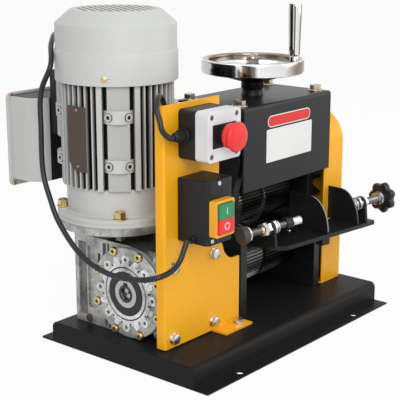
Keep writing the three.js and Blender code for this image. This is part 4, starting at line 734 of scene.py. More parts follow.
def smooth_route(points, fine=10):
    """A centripetal curve through the points, as many short steps."""
    points = [Vector(p) for p in points]
    first, last = points[0] * 2 - points[1], points[-1] * 2 - points[-2]
    around = [first, *points, last]
    route = [points[0]]
    for a, b, c, d in zip(around, around[1:], around[2:], around[3:]):
        t = [0.0]
        for p, q in ((a, b), (b, c), (c, d)):
            t.append(t[-1] + (q - p).length ** 0.5)
        for i in range(1, fine + 1):
            at = t[1] + (t[2] - t[1]) * i / fine
            ab = a.lerp(b, (at - t[0]) / (t[1] - t[0]))
            bc = b.lerp(c, (at - t[1]) / (t[2] - t[1]))
            cd = c.lerp(d, (at - t[2]) / (t[3] - t[2]))
            left = ab.lerp(bc, (at - t[0]) / (t[2] - t[0]))
            right = bc.lerp(cd, (at - t[1]) / (t[3] - t[1]))
            route.append(left.lerp(right, (at - t[1]) / (t[2] - t[1])))
    return route


class STRIPPER_OT_cables(Builder, bpy.types.Operator):
    """The two free cables"""
    bl_idname = "stripper.cables"
    bl_label = "Cables"

    def build(self, scene):
        self.cable("switch_lead", "switch_cable", SWITCH_ROUTE)
        self.cable("stop_lead", "stop_cable", STOP_ROUTE)

    @staticmethod
    def cable(name, node, route):
        points = [TRAY @ p for p in smooth_route(route)]
        curve = bpy.data.curves.new(name, "CURVE")
        curve.dimensions = "3D"
        curve.bevel_depth = CABLE_RADIUS
        curve.bevel_resolution = 5
        curve.use_fill_caps = True
        line = curve.splines.new("POLY")
        line.points.add(len(points) - 1)
        for target, point in zip(line.points, points):
            target.co = (*point, 1)
        curve.materials.append(finish("rubber"))
        obj = placed(name, curve)
        link(obj, "frame", "black_rubber", node)
        total = sum((b - a).length for a, b in zip(points, points[1:]))
        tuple(points[0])


# ---------------------------------------------------------------- tray and panel

class STRIPPER_OT_tray(Builder, bpy.types.Operator):
    """Base tray of bent sheet"""
    bl_idname = "stripper.tray"
    bl_label = "Base tray"

    def build(self, scene):
        deep, front, back = TRAY_DEPTH, 32, 283
        outline = [(0, 0), (deep, 0), (deep, 3), (292, 3), *arc(back, 23, 9, 0, 90, 10),
                   *arc(front, 23, 9, 90, 180, 10), (23, 3), (0, 3)]
        hollow = [(26, -4), (289, -4), *arc(back, 23, 6, 0, 90), *arc(front, 23, 6, 90, 180)]
        holes = [Form().bar("tray_enamel", 4.5, -4, 8, (x, y, 0)) for x in (82, 368) for y in (11.5, 303.5)]
        weld("tray", TRAY, [Form().drawn("tray_enamel", outline, 0, TRAY_LENGTH, "x")],
             [Form().drawn("tray_enamel", hollow, 3, TRAY_LENGTH - 3, "x"), *holes],
             "black_paint", "base_tray", 1.6, 3)
        form = Form()
        for x in (188.5, 376.5):
            for y in (112, 180):
                form.bolt((x, y, 29), -Z)
        form.put("tray_bolts", TRAY, "zinc")


class STRIPPER_OT_drive_panel(Builder, bpy.types.Operator):
    """Yellow upright panel with its foot and bolts"""
    bl_idname = "stripper.drive_panel"
    bl_label = "Drive panel"

    def build(self, scene):
        slope = [(163, 130), (156, 131.5), (149, 136), (143, 143), (138.05, 155.9), (133.5, 162), (130, 165)]
        face = [(20, 34), (117, 34), (117, 32), (177, 32), (177, 130), *slope, (130, 366), (20, 366)]
        bend = [(17, 103), (20, 103), (20, 92.5), *arc(21.5, 92.5, 1.5, 180, 270, 4), (24, 91), (24, 88),
                *arc(21, 92, 4, 270, 180, 6)]
        foot = [(63, 32), (91, 32), (91, 37), (89.5, 37), *arc(86, 37, 2, 0, -90, 4), (63, 35)]
        weld("panel", TRAY, [
            Form().drawn("yellow_enamel", face, 88, 91, "y"),
            Form().drawn("yellow_enamel", bend, 34, 366),
            Form().drawn("yellow_enamel", foot, 117, 177, "x"),
        ], (), "yellow_paint", "drive_panel", 0.6)
        form = Form().bolt((161, 76, 35), Z, 0.2)
        form.turned("rubber", [(4, 0), (10, 0), (10, 2), (8.5, 3), (7, 3), (7, 4.6), (6, 5), (4, 5), (4, 0)],
                    (70, 91, 226), Y)
        form.put("panel_fittings", TRAY, "zinc")
        for i, (x, z) in enumerate(((33.5, 47), (33.5, 147), (118.5, 47), (118.5, 147))):
            head = Form().bolt((x, 88, z), -Y, 0.4 * i)
            head.put(f"panel_bolt_{i + 1}", TRAY, "zinc", f"gearbox_bolt_{i + 1}")


# ---------------------------------------------------------------- gearbox

def polar(radius, angle):
    """The two coordinates of a place at an angle in radians."""
    return radius * math.cos(angle), radius * math.sin(angle)


def circle_places(count, radius, start=0.0):
    """Places spread evenly round a circle."""
    return [polar(radius, start + 2 * math.pi * i / count) for i in range(count)]


class STRIPPER_OT_gearbox(Builder, bpy.types.Operator):
    """Cast worm gearbox with its covers"""
    bl_idname = "stripper.gearbox"
    bl_label = "Gearbox"

    def build(self, scene):
        self.housing()
        for side, name in SIDES:
            self.cover(side, name)
        lip = [(20.5, 0), (31, 0), (31, 4.4), (30, 5), (24.5, 5), (23.2, 3.2), (21, 3.6), (20.5, 2.8),
               (20.5, 0)]
        seal = Form().turned("rubber", lip, (-55.85, 0, 0), X, 72)
        seal.put("shaft_seal", DRIVE, "black_rubber", "oil_seal")

    @staticmethod
    def housing():
        c = "cast_aluminium"
        up = (0, 63, 0)
        drum = Form().bar(c, 64.7, -46, 46, aim=X, sides=96, edge=1.2)
        bay = Form().drawn(c, rounded(-46, 46, -1, 110, 0, 0, 3, 3), -64.7, 66)
        plate = Form().block(c, -46, 46, -71.7, -61.7, -64.6, 66)
        web = Form().block(c, -36, 36, -70, 2, -32.35, 65.5)
        neck = Form().turned(c, [(0, 60), (45, 60), (46, 66), (55, 82.5), (0, 82.5)], up, sides=72)
        flange = Form().turned(c, [(0, 82), (86, 82), (87, 83), (87, 92), (86, 93), (0, 93)], up, sides=96)
        pads = [Form().bar(c, 13, -71.7, -41.7, (x, 0, z), Y) for x in (-33, 33) for z in (-50, 50)]
        cavity = Form().bar(c, 54.6, -60, 60, aim=X, sides=96)
        ways = [Form().bar(c, 23.7, -31, 31, up), Form().bar(c, 15.5, -46, 100, up)]
        shallow, deep = -42.6, -40
        # Pockets in the left face: y from, y to, z from, z to, depth, and the finish of the painted-shade plate
        # in its floor, none for the second
        hollows = [
            (85, 101, -54, 56, shallow, "cast_shade"), (69.5, 83, -40, 52, shallow, ""),
            (46, 52.6, 41, 61, deep, "cast_dark"), (39.6, 43, 46, 62, deep, "cast_dark"),
            (57, 62.4, 30, 44, deep, "cast_dark"), (46, 50, -62, -42, deep, "cast_dark"),
            (39, 43, -63, -50, deep, "cast_dark"),
        ]
        pockets = [Form().drawn(c, even(*edges, 1.5, 3), -60, depth, "x") for *edges, depth, _ in hollows]
        weld("gearbox_body", DRIVE, [drum, bay, plate, web, *pads, neck, flange],
             [cavity, *ways, *pockets], "cast_aluminium", "gearbox_housing", 1.2)
        # Painted shade: dark plates in the pocket floors, a dark sleeve under the flange's neck and a thin dark
        # sheet on the bay's top
        shade_plates = Form()
        for y0, y1, z0, z1, depth, tone in hollows:
            if tone:
                shade_plates.block(tone, depth - 0.2, depth + 0.2, y0 + 0.4, y1 - 0.4, z0 + 0.4, z1 - 0.4)
        shade_plates.turned("cast_dark", [(46.3, 66.1), (46.9, 66.1), (55.9, 81.9), (55.4, 81.9), (46.3, 66.1)], up)
        shade_plates.block("cast_dark", -45, 45, -68, 108, 65.9, 66.15)
        vent = [(0, 0), (3.6, 0), (3.6, 1.2), (2.8, 1.8), (0, 1.8)]
        shade_plates.turned("brown_plate", vent, (-46, 57.6, 27.5), -X, 24)
        plug = [(0, 0), (6, 0), (6, 1.8), (5, 2.6), (0, 2.6)]
        shade_plates.turned("brown_plate", plug, (-46, 81, -57), -X, 28)
        shade_plates.put("gearbox_recesses", DRIVE, "cast_aluminium")
        # painted shade round the shaft's end and in its centre hole
        end = Form().ring("cast_dark", 12.6, 8.6, 55.9, 56.25, aim=-X, sides=48, edge=0.1)
        end.bar("cast_dark", 2.6, 55.0, 56.25, aim=-X, sides=20)
        end.put("shaft_end_ring", DRIVE, "steel", body="drive_train")

    @staticmethod
    def cover(side, name):
        c, b, d = "cast_aluminium", "cast_bright", "cast_dark"
        aim = X * side
        out, face, eighth = 52.0, 56.0, math.pi / 8
        large = [(0, y, z) for y, z in circle_places(8, 49)]
        small = [(0, y, z) for y, z in circle_places(16, 43.8, eighth / 2)]
        disc = Form().turned(c, [(0, 44), (64.4, 44), (64.4, 51), (63.4, 52), (0, 52)], aim=aim, sides=96)
        ring = Form().bar(b, 45.5, out - 1, face, aim=aim, sides=96)
        lobes = [Form().bar(b, 6.4, out - 1, face, (0, y, z), aim, 28) for y, z in circle_places(8, 48.8)]
        lobes += [Form().bar(b, 4.4, out - 1, face - 0.6, (0, y, z), aim, 20)
                  for y, z in circle_places(8, 48.4, eighth)]
        spigot = Form().bar(c, 54.4, 30, 45, aim=aim, sides=96)
        holes = [Form().bar(b, 2.9, 53.4, 60, place, aim, 20) for place in large]
        holes += [Form().bar(b, 2.1, 53.4, 60, place, aim, 12) for place in small]
        groove = Form().ring(b, 38.6, 36.4, 53.0, 60, aim=aim, sides=96)
        inner = [Form().bar(c, 20.5, 20, 60, aim=aim, sides=72)]
        if side < 0:
            well = [(0, 50.8), (31.1, 50.8), (31.1, 54.6), (34, 60), (0, 60)]
            inner.insert(0, Form().turned(c, well, aim=aim, sides=72))
        weld(f"gearbox_disc_{name}", DRIVE, [disc, spigot], [form.copy() for form in inner],
             "cast_aluminium", f"gearbox_cover_{name}", 0.7)
        weld(f"gearbox_ring_{name}", DRIVE, [ring, *lobes], [*holes, groove, *inner],
             "cast_aluminium", bevel=0.5)
        # Painted shade in the groove, the holes and each screw's socket, and a painted shadow ring round each
        # screw
        form = Form().ring(d, 38.2, 36.8, 53.1, 54.6, aim=aim, sides=96)
        form.ring(c, 63.9, 56.6, out, out + 0.25, aim=aim, sides=96)
        for place in large:
            form.bar(d, 2.6, 53.5, 54.0, place, aim, 16)
        for place in small:
            form.bar(d, 1.9, 53.5, 54.2, place, aim, 12)
        for y, z in circle_places(8, 61, eighth):
            form.cap((side * out, y, z), aim, "gold_zinc", 5.7, 4.4, 2.6)
            form.bar(d, 2.5, out + 1.8, out + 2.6, (0, y, z), aim, 12)
            form.ring(d, 6.4, 4.6, out + 0.2, out + 0.45, (0, y, z), aim, 24)
        form.put(f"cover_screws_{name}", DRIVE, "zinc")


# ---------------------------------------------------------------- motor

# The four corners of the frame, where the flange bolts and the ribs are
CORNERS = [math.pi / 4 + k * math.pi / 2 for k in range(4)]
# The frame's lower and upper end, and the radius of its bore
FRAME_LOW, FRAME_HIGH, BORE = 50, 196, 60


class STRIPPER_OT_motor(Builder, bpy.types.Operator):
    """Finned motor with its shields, cowl and nameplate"""
    bl_idname = "stripper.motor"
    bl_label = "Motor"

    def build(self, scene):
        self.flange_shield()
        self.fins(scene.stripper_motor)
        self.upper_shield()
        self.cowl(scene.stripper_motor)
        self.nameplate()

    @staticmethod
    def flange_shield():
        m = "motor_paint"
        profile = [(12, 0), (86, 0), (87, 1), (87, 5.4), (86.2, 6), (87, 6.6), (87, 11), (86, 12), (74.5, 12.2),
                   (73, 13.5), (73, FRAME_LOW - 1), (72, FRAME_LOW), (BORE, FRAME_LOW), (BORE, 14), (12, 14),
                   (12, 0)]
        shield = Form().turned(m, profile, sides=120)
        for angle in CORNERS:
            place = (*polar(78.5, angle), 0)
            shield.bar("gold_zinc", 9.6, 12, 13.4, place, sides=32, edge=0.3)
            shield.hexagon("gold_zinc", 8.0, 13.4, 22.4, place, Z, angle)
            shield.hexagon("dark_steel", 7.5, -16.6, -11.3, place, Z, angle)
            shield.bar("gold_zinc", 4, -18, 23.4, place, sides=20, edge=0.7)
        shield.put("flange_shield", MOTOR, "motor_grey", "motor_flange_shield")

    @staticmethod
    def fin_outline(size):
        """Ribs at the corners and fins between them, wider beside a rib; the gaps are in radians."""
        core, rib_reach, rib_half, rib_gap = 66, 79, 15, 16.5 / 79
        wide_gap, wide_half = 0.36, 3.8
        teeth = [(angle, rib_reach, rib_half, rib_half, 5) for angle in CORNERS]
        for i in range(size.fins):
            angle = 2 * math.pi * (i + 0.5) / size.fins
            gap = min(abs(angle - corner) for corner in CORNERS)
            if gap > rib_gap:
                half = wide_half if gap < wide_gap else mm(size.fin_half)
                teeth.append((angle, mm(size.fin_reach), half, half + 0.5, 1))
        outline = []
        for angle, reach, half, root, steps in sorted(teeth):
            crest = [(reach, half * (2 * k / steps - 1)) for k in range(steps + 1)]
            for radius, side in [(core, -root), *crest, (core, root)]:
                outline.append(polar(radius, angle + math.asin(side / radius)))
        return outline

    def fins(self, size):
        m = "motor_paint"
        body = Form().drawn("fin_paint", self.fin_outline(size), FRAME_LOW, FRAME_HIGH)
        pads, screws = [], Form()
        for angle in CORNERS:
            turn = Matrix.Rotation(angle, 4, "Z")
            for low in (76, 142.5):
                outline = [(BORE, -21), *arc(62.5, 0, 22.3, -70, 70, 10), (BORE, 21)]
                pads.append(Form().drawn(m, outline, low, low + 18).move(turn))
                for side in (-1, 1):
                    place = turn @ Vector((80.2, side * 13.5, low + 9))
                    aim = turn @ Vector((0.796, side * 0.605, 0))
                    # painted shadow under each screw's seat
                    screws.bar("cast_dark", 6.2, -1.5, 0.3, place, aim, 28)
                    screws.ring(m, 5.5, 2.9, -0.5, 1.2, place, aim, 28)
                    screws.bar("black_plastic", 2.9, -0.5, 0.6, place, aim, 16)
        boss = Form().drawn(m, even(-36, 36, 105, 200, 4), 60, 84.7, "y")
        weld("finned_frame", MOTOR, [body, *pads], [Form().bar(m, BORE, 40, 210, sides=96)],
             "motor_grey", "motor_frame", 0.25, 1)
        boss.put("terminal_boss", MOTOR, "motor_grey", bevel=1.0)
        screws.put("pad_screws", MOTOR, "zinc")

    @staticmethod
    def upper_shield():
        m = "motor_paint"
        low, high, hub = FRAME_HIGH, FRAME_HIGH + 10, FRAME_HIGH + 18
        form = Form().turned(m, [(11, low), (59, 190.2), (BORE, low), (72, low), (72, high), (30, high),
                                 (30, hub), (11, hub), (11, low)], sides=96)
        for k, angle in enumerate(CORNERS):
            lug = Form().block(m, 66, 83, -7, 7, low, high).move(Matrix.Rotation(angle, 4, "Z"))
            lug.put(f"shield_lug_{k + 1}", MOTOR, "motor_grey", bevel=0.6)
        form.put("upper_shield", MOTOR, "motor_grey", "upper_end_shield")

    @staticmethod
    def cowl(size):
        m = "motor_paint"
        inside = [(0, 286.5), (60.6, 286.5), (61.6, 286.2), (81.4, 270.2), (82, 269.2), (82, 233.2),
                  (83.5, 232.5), (83.5, 193)]
        outside = [(85, 193), (85, 233), (84.6, 234.2), (83.7, 235), (83.5, 236), (83.5, 268.6),
                   (83.2, 269.6), (82.6, 270.4), (62.8, 287.2), (61.6, 287.8), (60.4, 288), (0, 288)]
        shell = Form().turned(m, inside + outside, sides=128)
        cuts = []
        pitch, around, half, turn = 9.6, 56.0, 2, Matrix.Rotation(math.radians(60), 4, "Z")
        for i in range(size.slots):
            across = (i - (size.slots - 1) / 2) * pitch
            reach = math.sqrt(around ** 2 - across ** 2)
            slot = Form().drawn(m, even(-reach, reach, across - half, across + half, 1.95), 280, 292)
            cuts.append(slot.move(turn))
        weld("cooling_cowl", MOTOR, [shell], cuts, "motor_grey", "fan_cowl", angle=30)
        screws = Form()
        for x, y in circle_places(3, 1, math.radians(32.7 + 180)):
            screws.turned("gold_zinc", [(0, 0), (4.4, 0), (4.2, 1.4), (2.6, 2.4), (0, 2.6)],
                          (84.6 * x, 84.6 * y, 202.4), Vector((x, y, 0)), 24)
        screws.put("cowl_screws", MOTOR, "zinc")

    @staticmethod
    def nameplate():
        corners = [(-19.5, 75), (2, 75), (13.5, 88), (13.5, 164), (-19.5, 164)]
        plate = Form().drawn("brown_plate", corners, -81.3, -80.4, "x")
        plate.put("blank_plate", MOTOR, "brown_plate", "nameplate", 0.2)
        rivets = Form()
        for z in (82, 158.5):
            dome = [(0, 0), (1.9, 0), (1.6, 0.4), (0.9, 0.7), (0, 0.8)]
            rivets.turned("copper", dome, (-81.3, -2.2, z), -X, 20)
        rivets.put("plate_rivets", MOTOR, "brown_plate")


class STRIPPER_OT_terminal_box(Builder, bpy.types.Operator):
    """Terminal box with its lid and gland"""
    bl_idname = "stripper.terminal_box"
    bl_label = "Terminal box"

    def build(self, scene):
        m = "motor_paint"
        half, near, far, low, high, corner, wall = 62, 100, 154, 38, 160, 27, 4

        def outline(inset, front, edge):
            r = corner - inset
            return rounded(inset - half, half - inset, near + inset, far + front, r, r, edge, edge, 10)

        shell = Form().drawn(m, outline(0, 0, 1), low, high)
        # The neck is black, and thin black sheets cover the middle of the box's front face and its top
        neck = Form().drawn("black_plastic", even(-34, 34, 106, 199, 4), 85, near - 0.6, "y")
        neck.block("black_plastic", -36, 36, near - 0.6, near + 0.3, low + 0.6, high - 0.6)
        neck.drawn("black_plastic", outline(0.6, -0.4, 1), high - 0.2, high + 0.5)
        neck.put("terminal_neck", MOTOR, "black_plastic", bevel=0.3)
        hollow = Form().drawn(m, outline(wall, wall, 0), low + wall, high - wall)
        weld("terminal_case", MOTOR, [shell], [hollow], "motor_grey", "terminal_box", 2.0, 3)
        weld("terminal_cover", MOTOR, [
            Form().drawn(m, even(-67, 67, 27, 164, 8), 154, 158, "y"),
            Form().drawn(m, even(-60, 60, 34, 157, 6), 157, 160, "y"),
        ], (), "motor_grey", "terminal_lid", 1.2, 3)
        screws = Form()
        head = [(0, -3), (4.4, -3), (4.4, -1.0), (3, 0.4), (0, 0.8)]
        for side in (-1, 1):
            for z in (34, 157):
                screws.turned("gold_zinc", head, (60 * side, 161, z), Y, 24)
            for z, radius in ((32.4, 2.8), (162, 1.9)):
                screws.bar("gold_zinc", radius, 149.6, 154.4, (62 * side, 0, z), Y, 20)
        screws.put("lid_screws", MOTOR, "zinc")
        outlet = gland(Form(), (42, 124, 160), Z)
        outlet.put("terminal_gland", MOTOR, "black_plastic")


def gland(form, place, aim):
    """Cable gland: flange, hexagon nut, body and ribbed dome."""
    g = "black_plastic"
    form.turned(g, [(0, 0), (9.4, 0), (10, 0.6), (10, 4.4), (9.4, 5), (0, 5)], place, aim, 40)
    form.hexagon(g, 8.6, 5, 14, place, aim, 0.2)
    dome = [(3.9, 14), (6.5, 14), (6.6, 16.5), (6.3, 19), (5.6, 21.2), (4.6, 22), (3.9, 22), (3.9, 14)]
    return form.turned(g, dome, place, aim, 32)


# ---------------------------------------------------------------- head

# Half the head's width inside and outside its side plates, and the heights of its top plate and hood
HEAD_INSIDE, HEAD_HALF = 86.5, 101.5
TOP_LOW, TOP_HIGH, HOOD_HIGH = 295, 307, 310


class STRIPPER_OT_head(Builder, bpy.types.Operator):
    """Side plates, top plate, bent cover and blank label of the head"""
    bl_idname = "stripper.head"
    bl_label = "Head"

    def build(self, scene):
        for side, name in SIDES:
            self.side_plate(side, name)
        b = "black_enamel"
        top = Form().block(b, -HEAD_HALF, HEAD_HALF, -5, 113, TOP_LOW, TOP_HIGH)
        top.put("head_top", HEAD, "black_paint", "top_plate", 0.8)
        tie = Form().block(b, -86.3, 86.3, 104, 116, 0, 28)
        tie.put("head_tie", HEAD, "black_paint", "rear_tie_plate", 0.8)
        bar = Form().block(b, 17.5, 86.3, 2, 22, 80, 100.7)
        bar.put("table_carrier", HEAD, "black_paint", "table_bar", 1.0)
        self.cover()
        self.label()

    @staticmethod
    def side_plate(side, name):
        b = "black_enamel"
        near, far = sorted((side * HEAD_INSIDE, side * HEAD_HALF))
        outline = [(0, 0), (116, 0), (116, TOP_LOW), (4, TOP_LOW), (4, 230), (9.7, 206), (16, 183), (16, 133),
                   (0, 126)]
        plate = Form().drawn(b, outline, near, far, "x")
        window = Form().block(b, near - 5, far + 5, 48.7, 101.3, 120.5, 186.5)
        bore = Form().bar(b, 13, near - 5, far + 5, (0, 75, 65), X)
        weld(f"head_plate_{name}", HEAD, [plate], [window, bore], "black_paint", f"{name}_side_plate", 1.1, 3)
        form = Form().cap((side * HEAD_HALF, 110, 14), X * side)
        if side > 0:
            form.cap((HEAD_HALF, 12, 86.2), X).cap((HEAD_HALF, 12, 94.5), X)
        form.put(f"plate_screws_{name}", HEAD, "zinc")

    @staticmethod
    def cover():
        b = "black_enamel"
        shape = [(-8.5, 190), (-5.5, 190), (-5.5, 303), *arc(-1.5, 303, 4, 180, 90, 5), (116, TOP_HIGH),
                 (116, HOOD_HIGH), *arc(-3.5, 305, 5, 90, 180)]
        bore = Form().bar(b, 12.1, 290, 320, (0, 60, 0))
        weld("head_hood", HEAD, [Form().drawn(b, shape, -108, 108, "x")], [bore],
             "black_paint", "head_cover", 0.5)
        form = Form()
        for i, x in enumerate((-94, 94)):
            for k, y in enumerate((11, 102)):
                form.ring("gold_zinc", 11.5, 4.4, 0, 1.6, (x, y, HOOD_HIGH), Z, 40, 0.3)
                form.bolt((x, y, HOOD_HIGH + 1), Z, 0.35 * (i + 2 * k), "warm_zinc", "warm_zinc", 8.8, 6.4)
        form.put("hood_bolts", HEAD, "zinc")

    @staticmethod
    def label():
        """A white plate and a red bar, both left blank."""
        form = Form()
        form.drawn("label_white", even(-55.5, 57, 225, 273, 1.5, 4), -8.9, -8.45, "y")
        form.drawn("label_white", even(-53, 52.5, 275.5, 292.5, 8.4), -8.75, -8.45, "y")
        form.drawn("label_red", even(-51.6, 51.1, 276.9, 291.1, 7.0), -8.9, -8.7, "y")
        form.put("blank_label", HEAD, "pale_grey_plastic")


# Where the grip stands on the handwheel
GRIP = (*polar(61, math.radians(-54.5)), 0)


class STRIPPER_OT_handwheel(Builder, bpy.types.Operator):
    """Handwheel with its spindle, bush and revolving grip"""
    bl_idname = "stripper.handwheel"
    bl_label = "Handwheel"

    def build(self, scene):
        self.bush()
        self.wheel()
        self.grip()

    @staticmethod
    def bush():
        b = "black_enamel"
        profile = [(8.6, 293), (12, 293), (12, 310), (16.4, 310), (16.4, 312.2), (15.4, 314.6), (15.4, 319.2),
                   (14.6, 320), (8.6, 320), (8.6, 293)]
        form = Form().turned(b, profile, (0, 60, 0), sides=64)
        form.put("spindle_collar", HEAD, "black_paint", "spindle_bush")

    @staticmethod
    def wheel():
        c = "chrome"
        outside = [(62, 23.0), (66, 23.7), (73.4, 23.7), (75, 24.3), (75.8, 25.4), (76, 27), (76, 40.4),
                   (75.8, 42), (75, 43.1), (73.4, 43.7)]
        inside = [(73.4, 43.7), (67.6, 43.7), (66, 43.2), (65.2, 42.2), (65, 40.6), (65, 36), (64, 33.4)]
        dish = [(64, 33.4), (60, 30.4), (44, 24), (26, 19.4), (18.6, 18.6), (14.8, 20), (13, 23.5), (12.2, 30),
                (11.6, 32.4), (10.8, 33), (8.2, 33), (8.2, 0)]
        hub = [(8.2, 0), (15.8, 0), (16.8, 1.0), (16.8, 9.4), (17.8, 10.6), (26, 12.6), (46, 18.4), (62, 23.0)]
        form = Form()
        # the rim's inside is brown metal, and the hub brown steel
        for name, profile in ((c, outside), ("tarnished", inside), (c, dish), ("brown_steel", hub)):
            form.turned(name, profile, sides=128, caps=False)
        form.turned(c, [(0, 38), (7, 38), (7, 46), (6.4, 46.7), (4, 46.7), (4, 98), (0, 98)], GRIP, sides=32)
        form.put("height_wheel", WHEEL, "chrome", "handwheel", angle=50, body="height_wheel")
        # The spindle's foot is 203 mm above the head's, and the wheel's own origin 320.5 mm
        foot = 203 - 320.5
        spindle = Form().turned("steel", [(0, foot), (8, foot), (8, -37.7), (12, -37.7), (12, -28), (8, -28),
                                          (8, 33.2), (0, 33.2)], sides=40)
        spindle.ring("dark_steel", 12.6, 5, 33.2, 35.0, sides=48, edge=0.4)
        dome = [(0, 35), (9.2, 35), (9.4, 35.4), (9.4, 44), (9.0, 46), (8.0, 47.8), (6.2, 49.2), (3.4, 49.9),
                (0, 50)]
        spindle.turned("nut_steel", dome, sides=48)
        spindle.put("spindle_stack", WHEEL, "steel", "spindle", body="height_wheel")

    @staticmethod
    def grip():
        low = 47.2
        profile = [(0, 0.2), (6.6, 0), (7.6, 1.2), (8.2, 4), (8.5, 14), (8.9, 30), (9.3, 48), (9.6, 60),
                   (9.6, 73), (9.1, 75.6), (7.6, 77.3), (4.2, 77.9), (0, 78)]
        form = Form().turned("chrome", [(radius, low + height) for radius, height in profile], GRIP, sides=48)
        form.put("revolving_grip", WHEEL, "chrome", "wheel_grip", angle=60, body="grip")


# ---------------------------------------------------------------- rollers

def fluted(count, radius, depth):
    """Outline of a fluted roller with flat crests."""
    points = []
    step = 2 * math.pi / count
    for i in range(count):
        for reach, share in ((radius, 0.0), (radius, 0.32), (radius - depth, 0.58), (radius - depth, 0.74)):
            points.append(polar(reach, (i + share) * step))
    return points


def fluted_roller(form, name, count, radius, depth, low, high):
    """One fluted length along X with chamfered ends."""
    rings = []
    outline = fluted(count, radius, depth)
    for at, shrink in ((low, 0.962), (low + 1.4, 1.0), (high - 1.4, 1.0), (high, 0.962)):
        rings.append([Vector((at, u * shrink, v * shrink)) for u, v in outline])
    return form.skin(rings, name)


class STRIPPER_OT_rollers(Builder, bpy.types.Operator):
    """Fluted feed rollers and the cutter disc"""
    bl_idname = "stripper.rollers"
    bl_label = "Rollers"

    def build(self, scene):
        size = scene.stripper_rollers
        depth = mm(size.flute_depth)
        lower = Form()
        for low, high, name in ((-84.5, -3.5, "dark_steel"), (3.5, 84.5, "black_steel")):
            fluted_roller(lower, name, size.lower_flutes, 43, depth, low, high)
        lower.bar("steel", 37, -4, 4, aim=X)
        lower.put("lower_roller", LOWER_ROLLER, "dark_steel", "lower_feed_roller", angle=30, body="drive_train")
        upper = Form()
        # The upper roller's middle lengths are darkened as painted shade under the flap; its brown end stays
        # lighter
        for low, high, name in (
            (-72.5, -50, "brown_steel"), (-49.4, -1.3, "black_steel"), (1.3, 72.5, "black_steel"),
        ):
            fluted_roller(upper, name, size.upper_flutes, 38, depth, low, high)
        upper.bar("steel", 10, -101.5, 142.5, aim=X, edge=0.8)
        upper.put("upper_roller", UPPER_ROLLER, "dark_steel", "upper_feed_roller", angle=30,
                  body="cutter_train")
        edge = [(10.1, -1), (37, -1), (41.9, -0.08), (42, 0), (41.9, 0.08), (37, 1), (10.1, 1), (10.1, -1)]
        disc = Form().turned("bright_edge", edge, aim=X, sides=96)
        disc.put("slitting_disc", UPPER_ROLLER, "zinc", "cutter_disc", angle=10, body="cutter_train")


class STRIPPER_OT_gear_guard(Builder, bpy.types.Operator):
    """Yellow guard over the gears"""
    bl_idname = "stripper.gear_guard"
    bl_label = "Gear guard"

    def build(self, scene):
        y = "yellow_enamel"
        near, far, high, corner, left, right, wall = -3, 149, 274, 50, 104.5, 155.5, 2.5
        face, inner = right - wall, corner - wall
        shell = Form().drawn(y, rounded(near, far, 0, high, 0, 0, corner, corner, 24), left, right, "x")
        hollow = Form().drawn(y, rounded(near + wall, far - wall, -4, high - wall, 0, 0, inner, inner, 24),
                              100, face, "x")
        weld("guard_shell", HEAD, [shell], [hollow], "yellow_paint", "gear_guard", 1.0, 3)
        feet = Form().block(y, left, face, -0.6, 15.5, 0, wall).block(y, left, face, 130.5, 146.6, 0, wall)
        feet.put("guard_feet", HEAD, "yellow_paint", bevel=0.5)
        bolts = Form().bolt((130, 7.5, wall), Z).bolt((130, 138.5, wall), Z)
        bolts.put("guard_bolts", HEAD, "zinc")


# ---------------------------------------------------------------- guide table

def table_fin(back):
    """Quarter of an ellipse at the front and a flat top to the back."""
    low, high, steps = 0.3, 52, 24
    angles = [math.pi / 2 / steps * i for i in range(steps + 1)]
    front = [(17 - 35 * math.cos(a), low + high * math.sin(a)) for a in angles]
    return front + [(back, low + high), (back, low)]


def thread(form, name, low, high, radius=6, pitch=1.75, depth=0.75):
    """Threaded rod along X: a stack of crests and roots."""
    root = radius - depth
    profile = [(0, low), (root, low)]
    at = low + 0.3
    while at + pitch < high:
        profile += [(radius, at + pitch * 0.45), (radius, at + pitch * 0.55), (root, at + pitch)]
        at += pitch
    return form.turned(name, profile + [(root, high), (0, high)], aim=X, sides=32)


def rod_nut(form, low, turn, long=6.9, corner=10.2):
    """Nut on a guide rod."""
    return form.hexagon("zinc", corner, low, low + long, (0, 0, 0), X, turn)


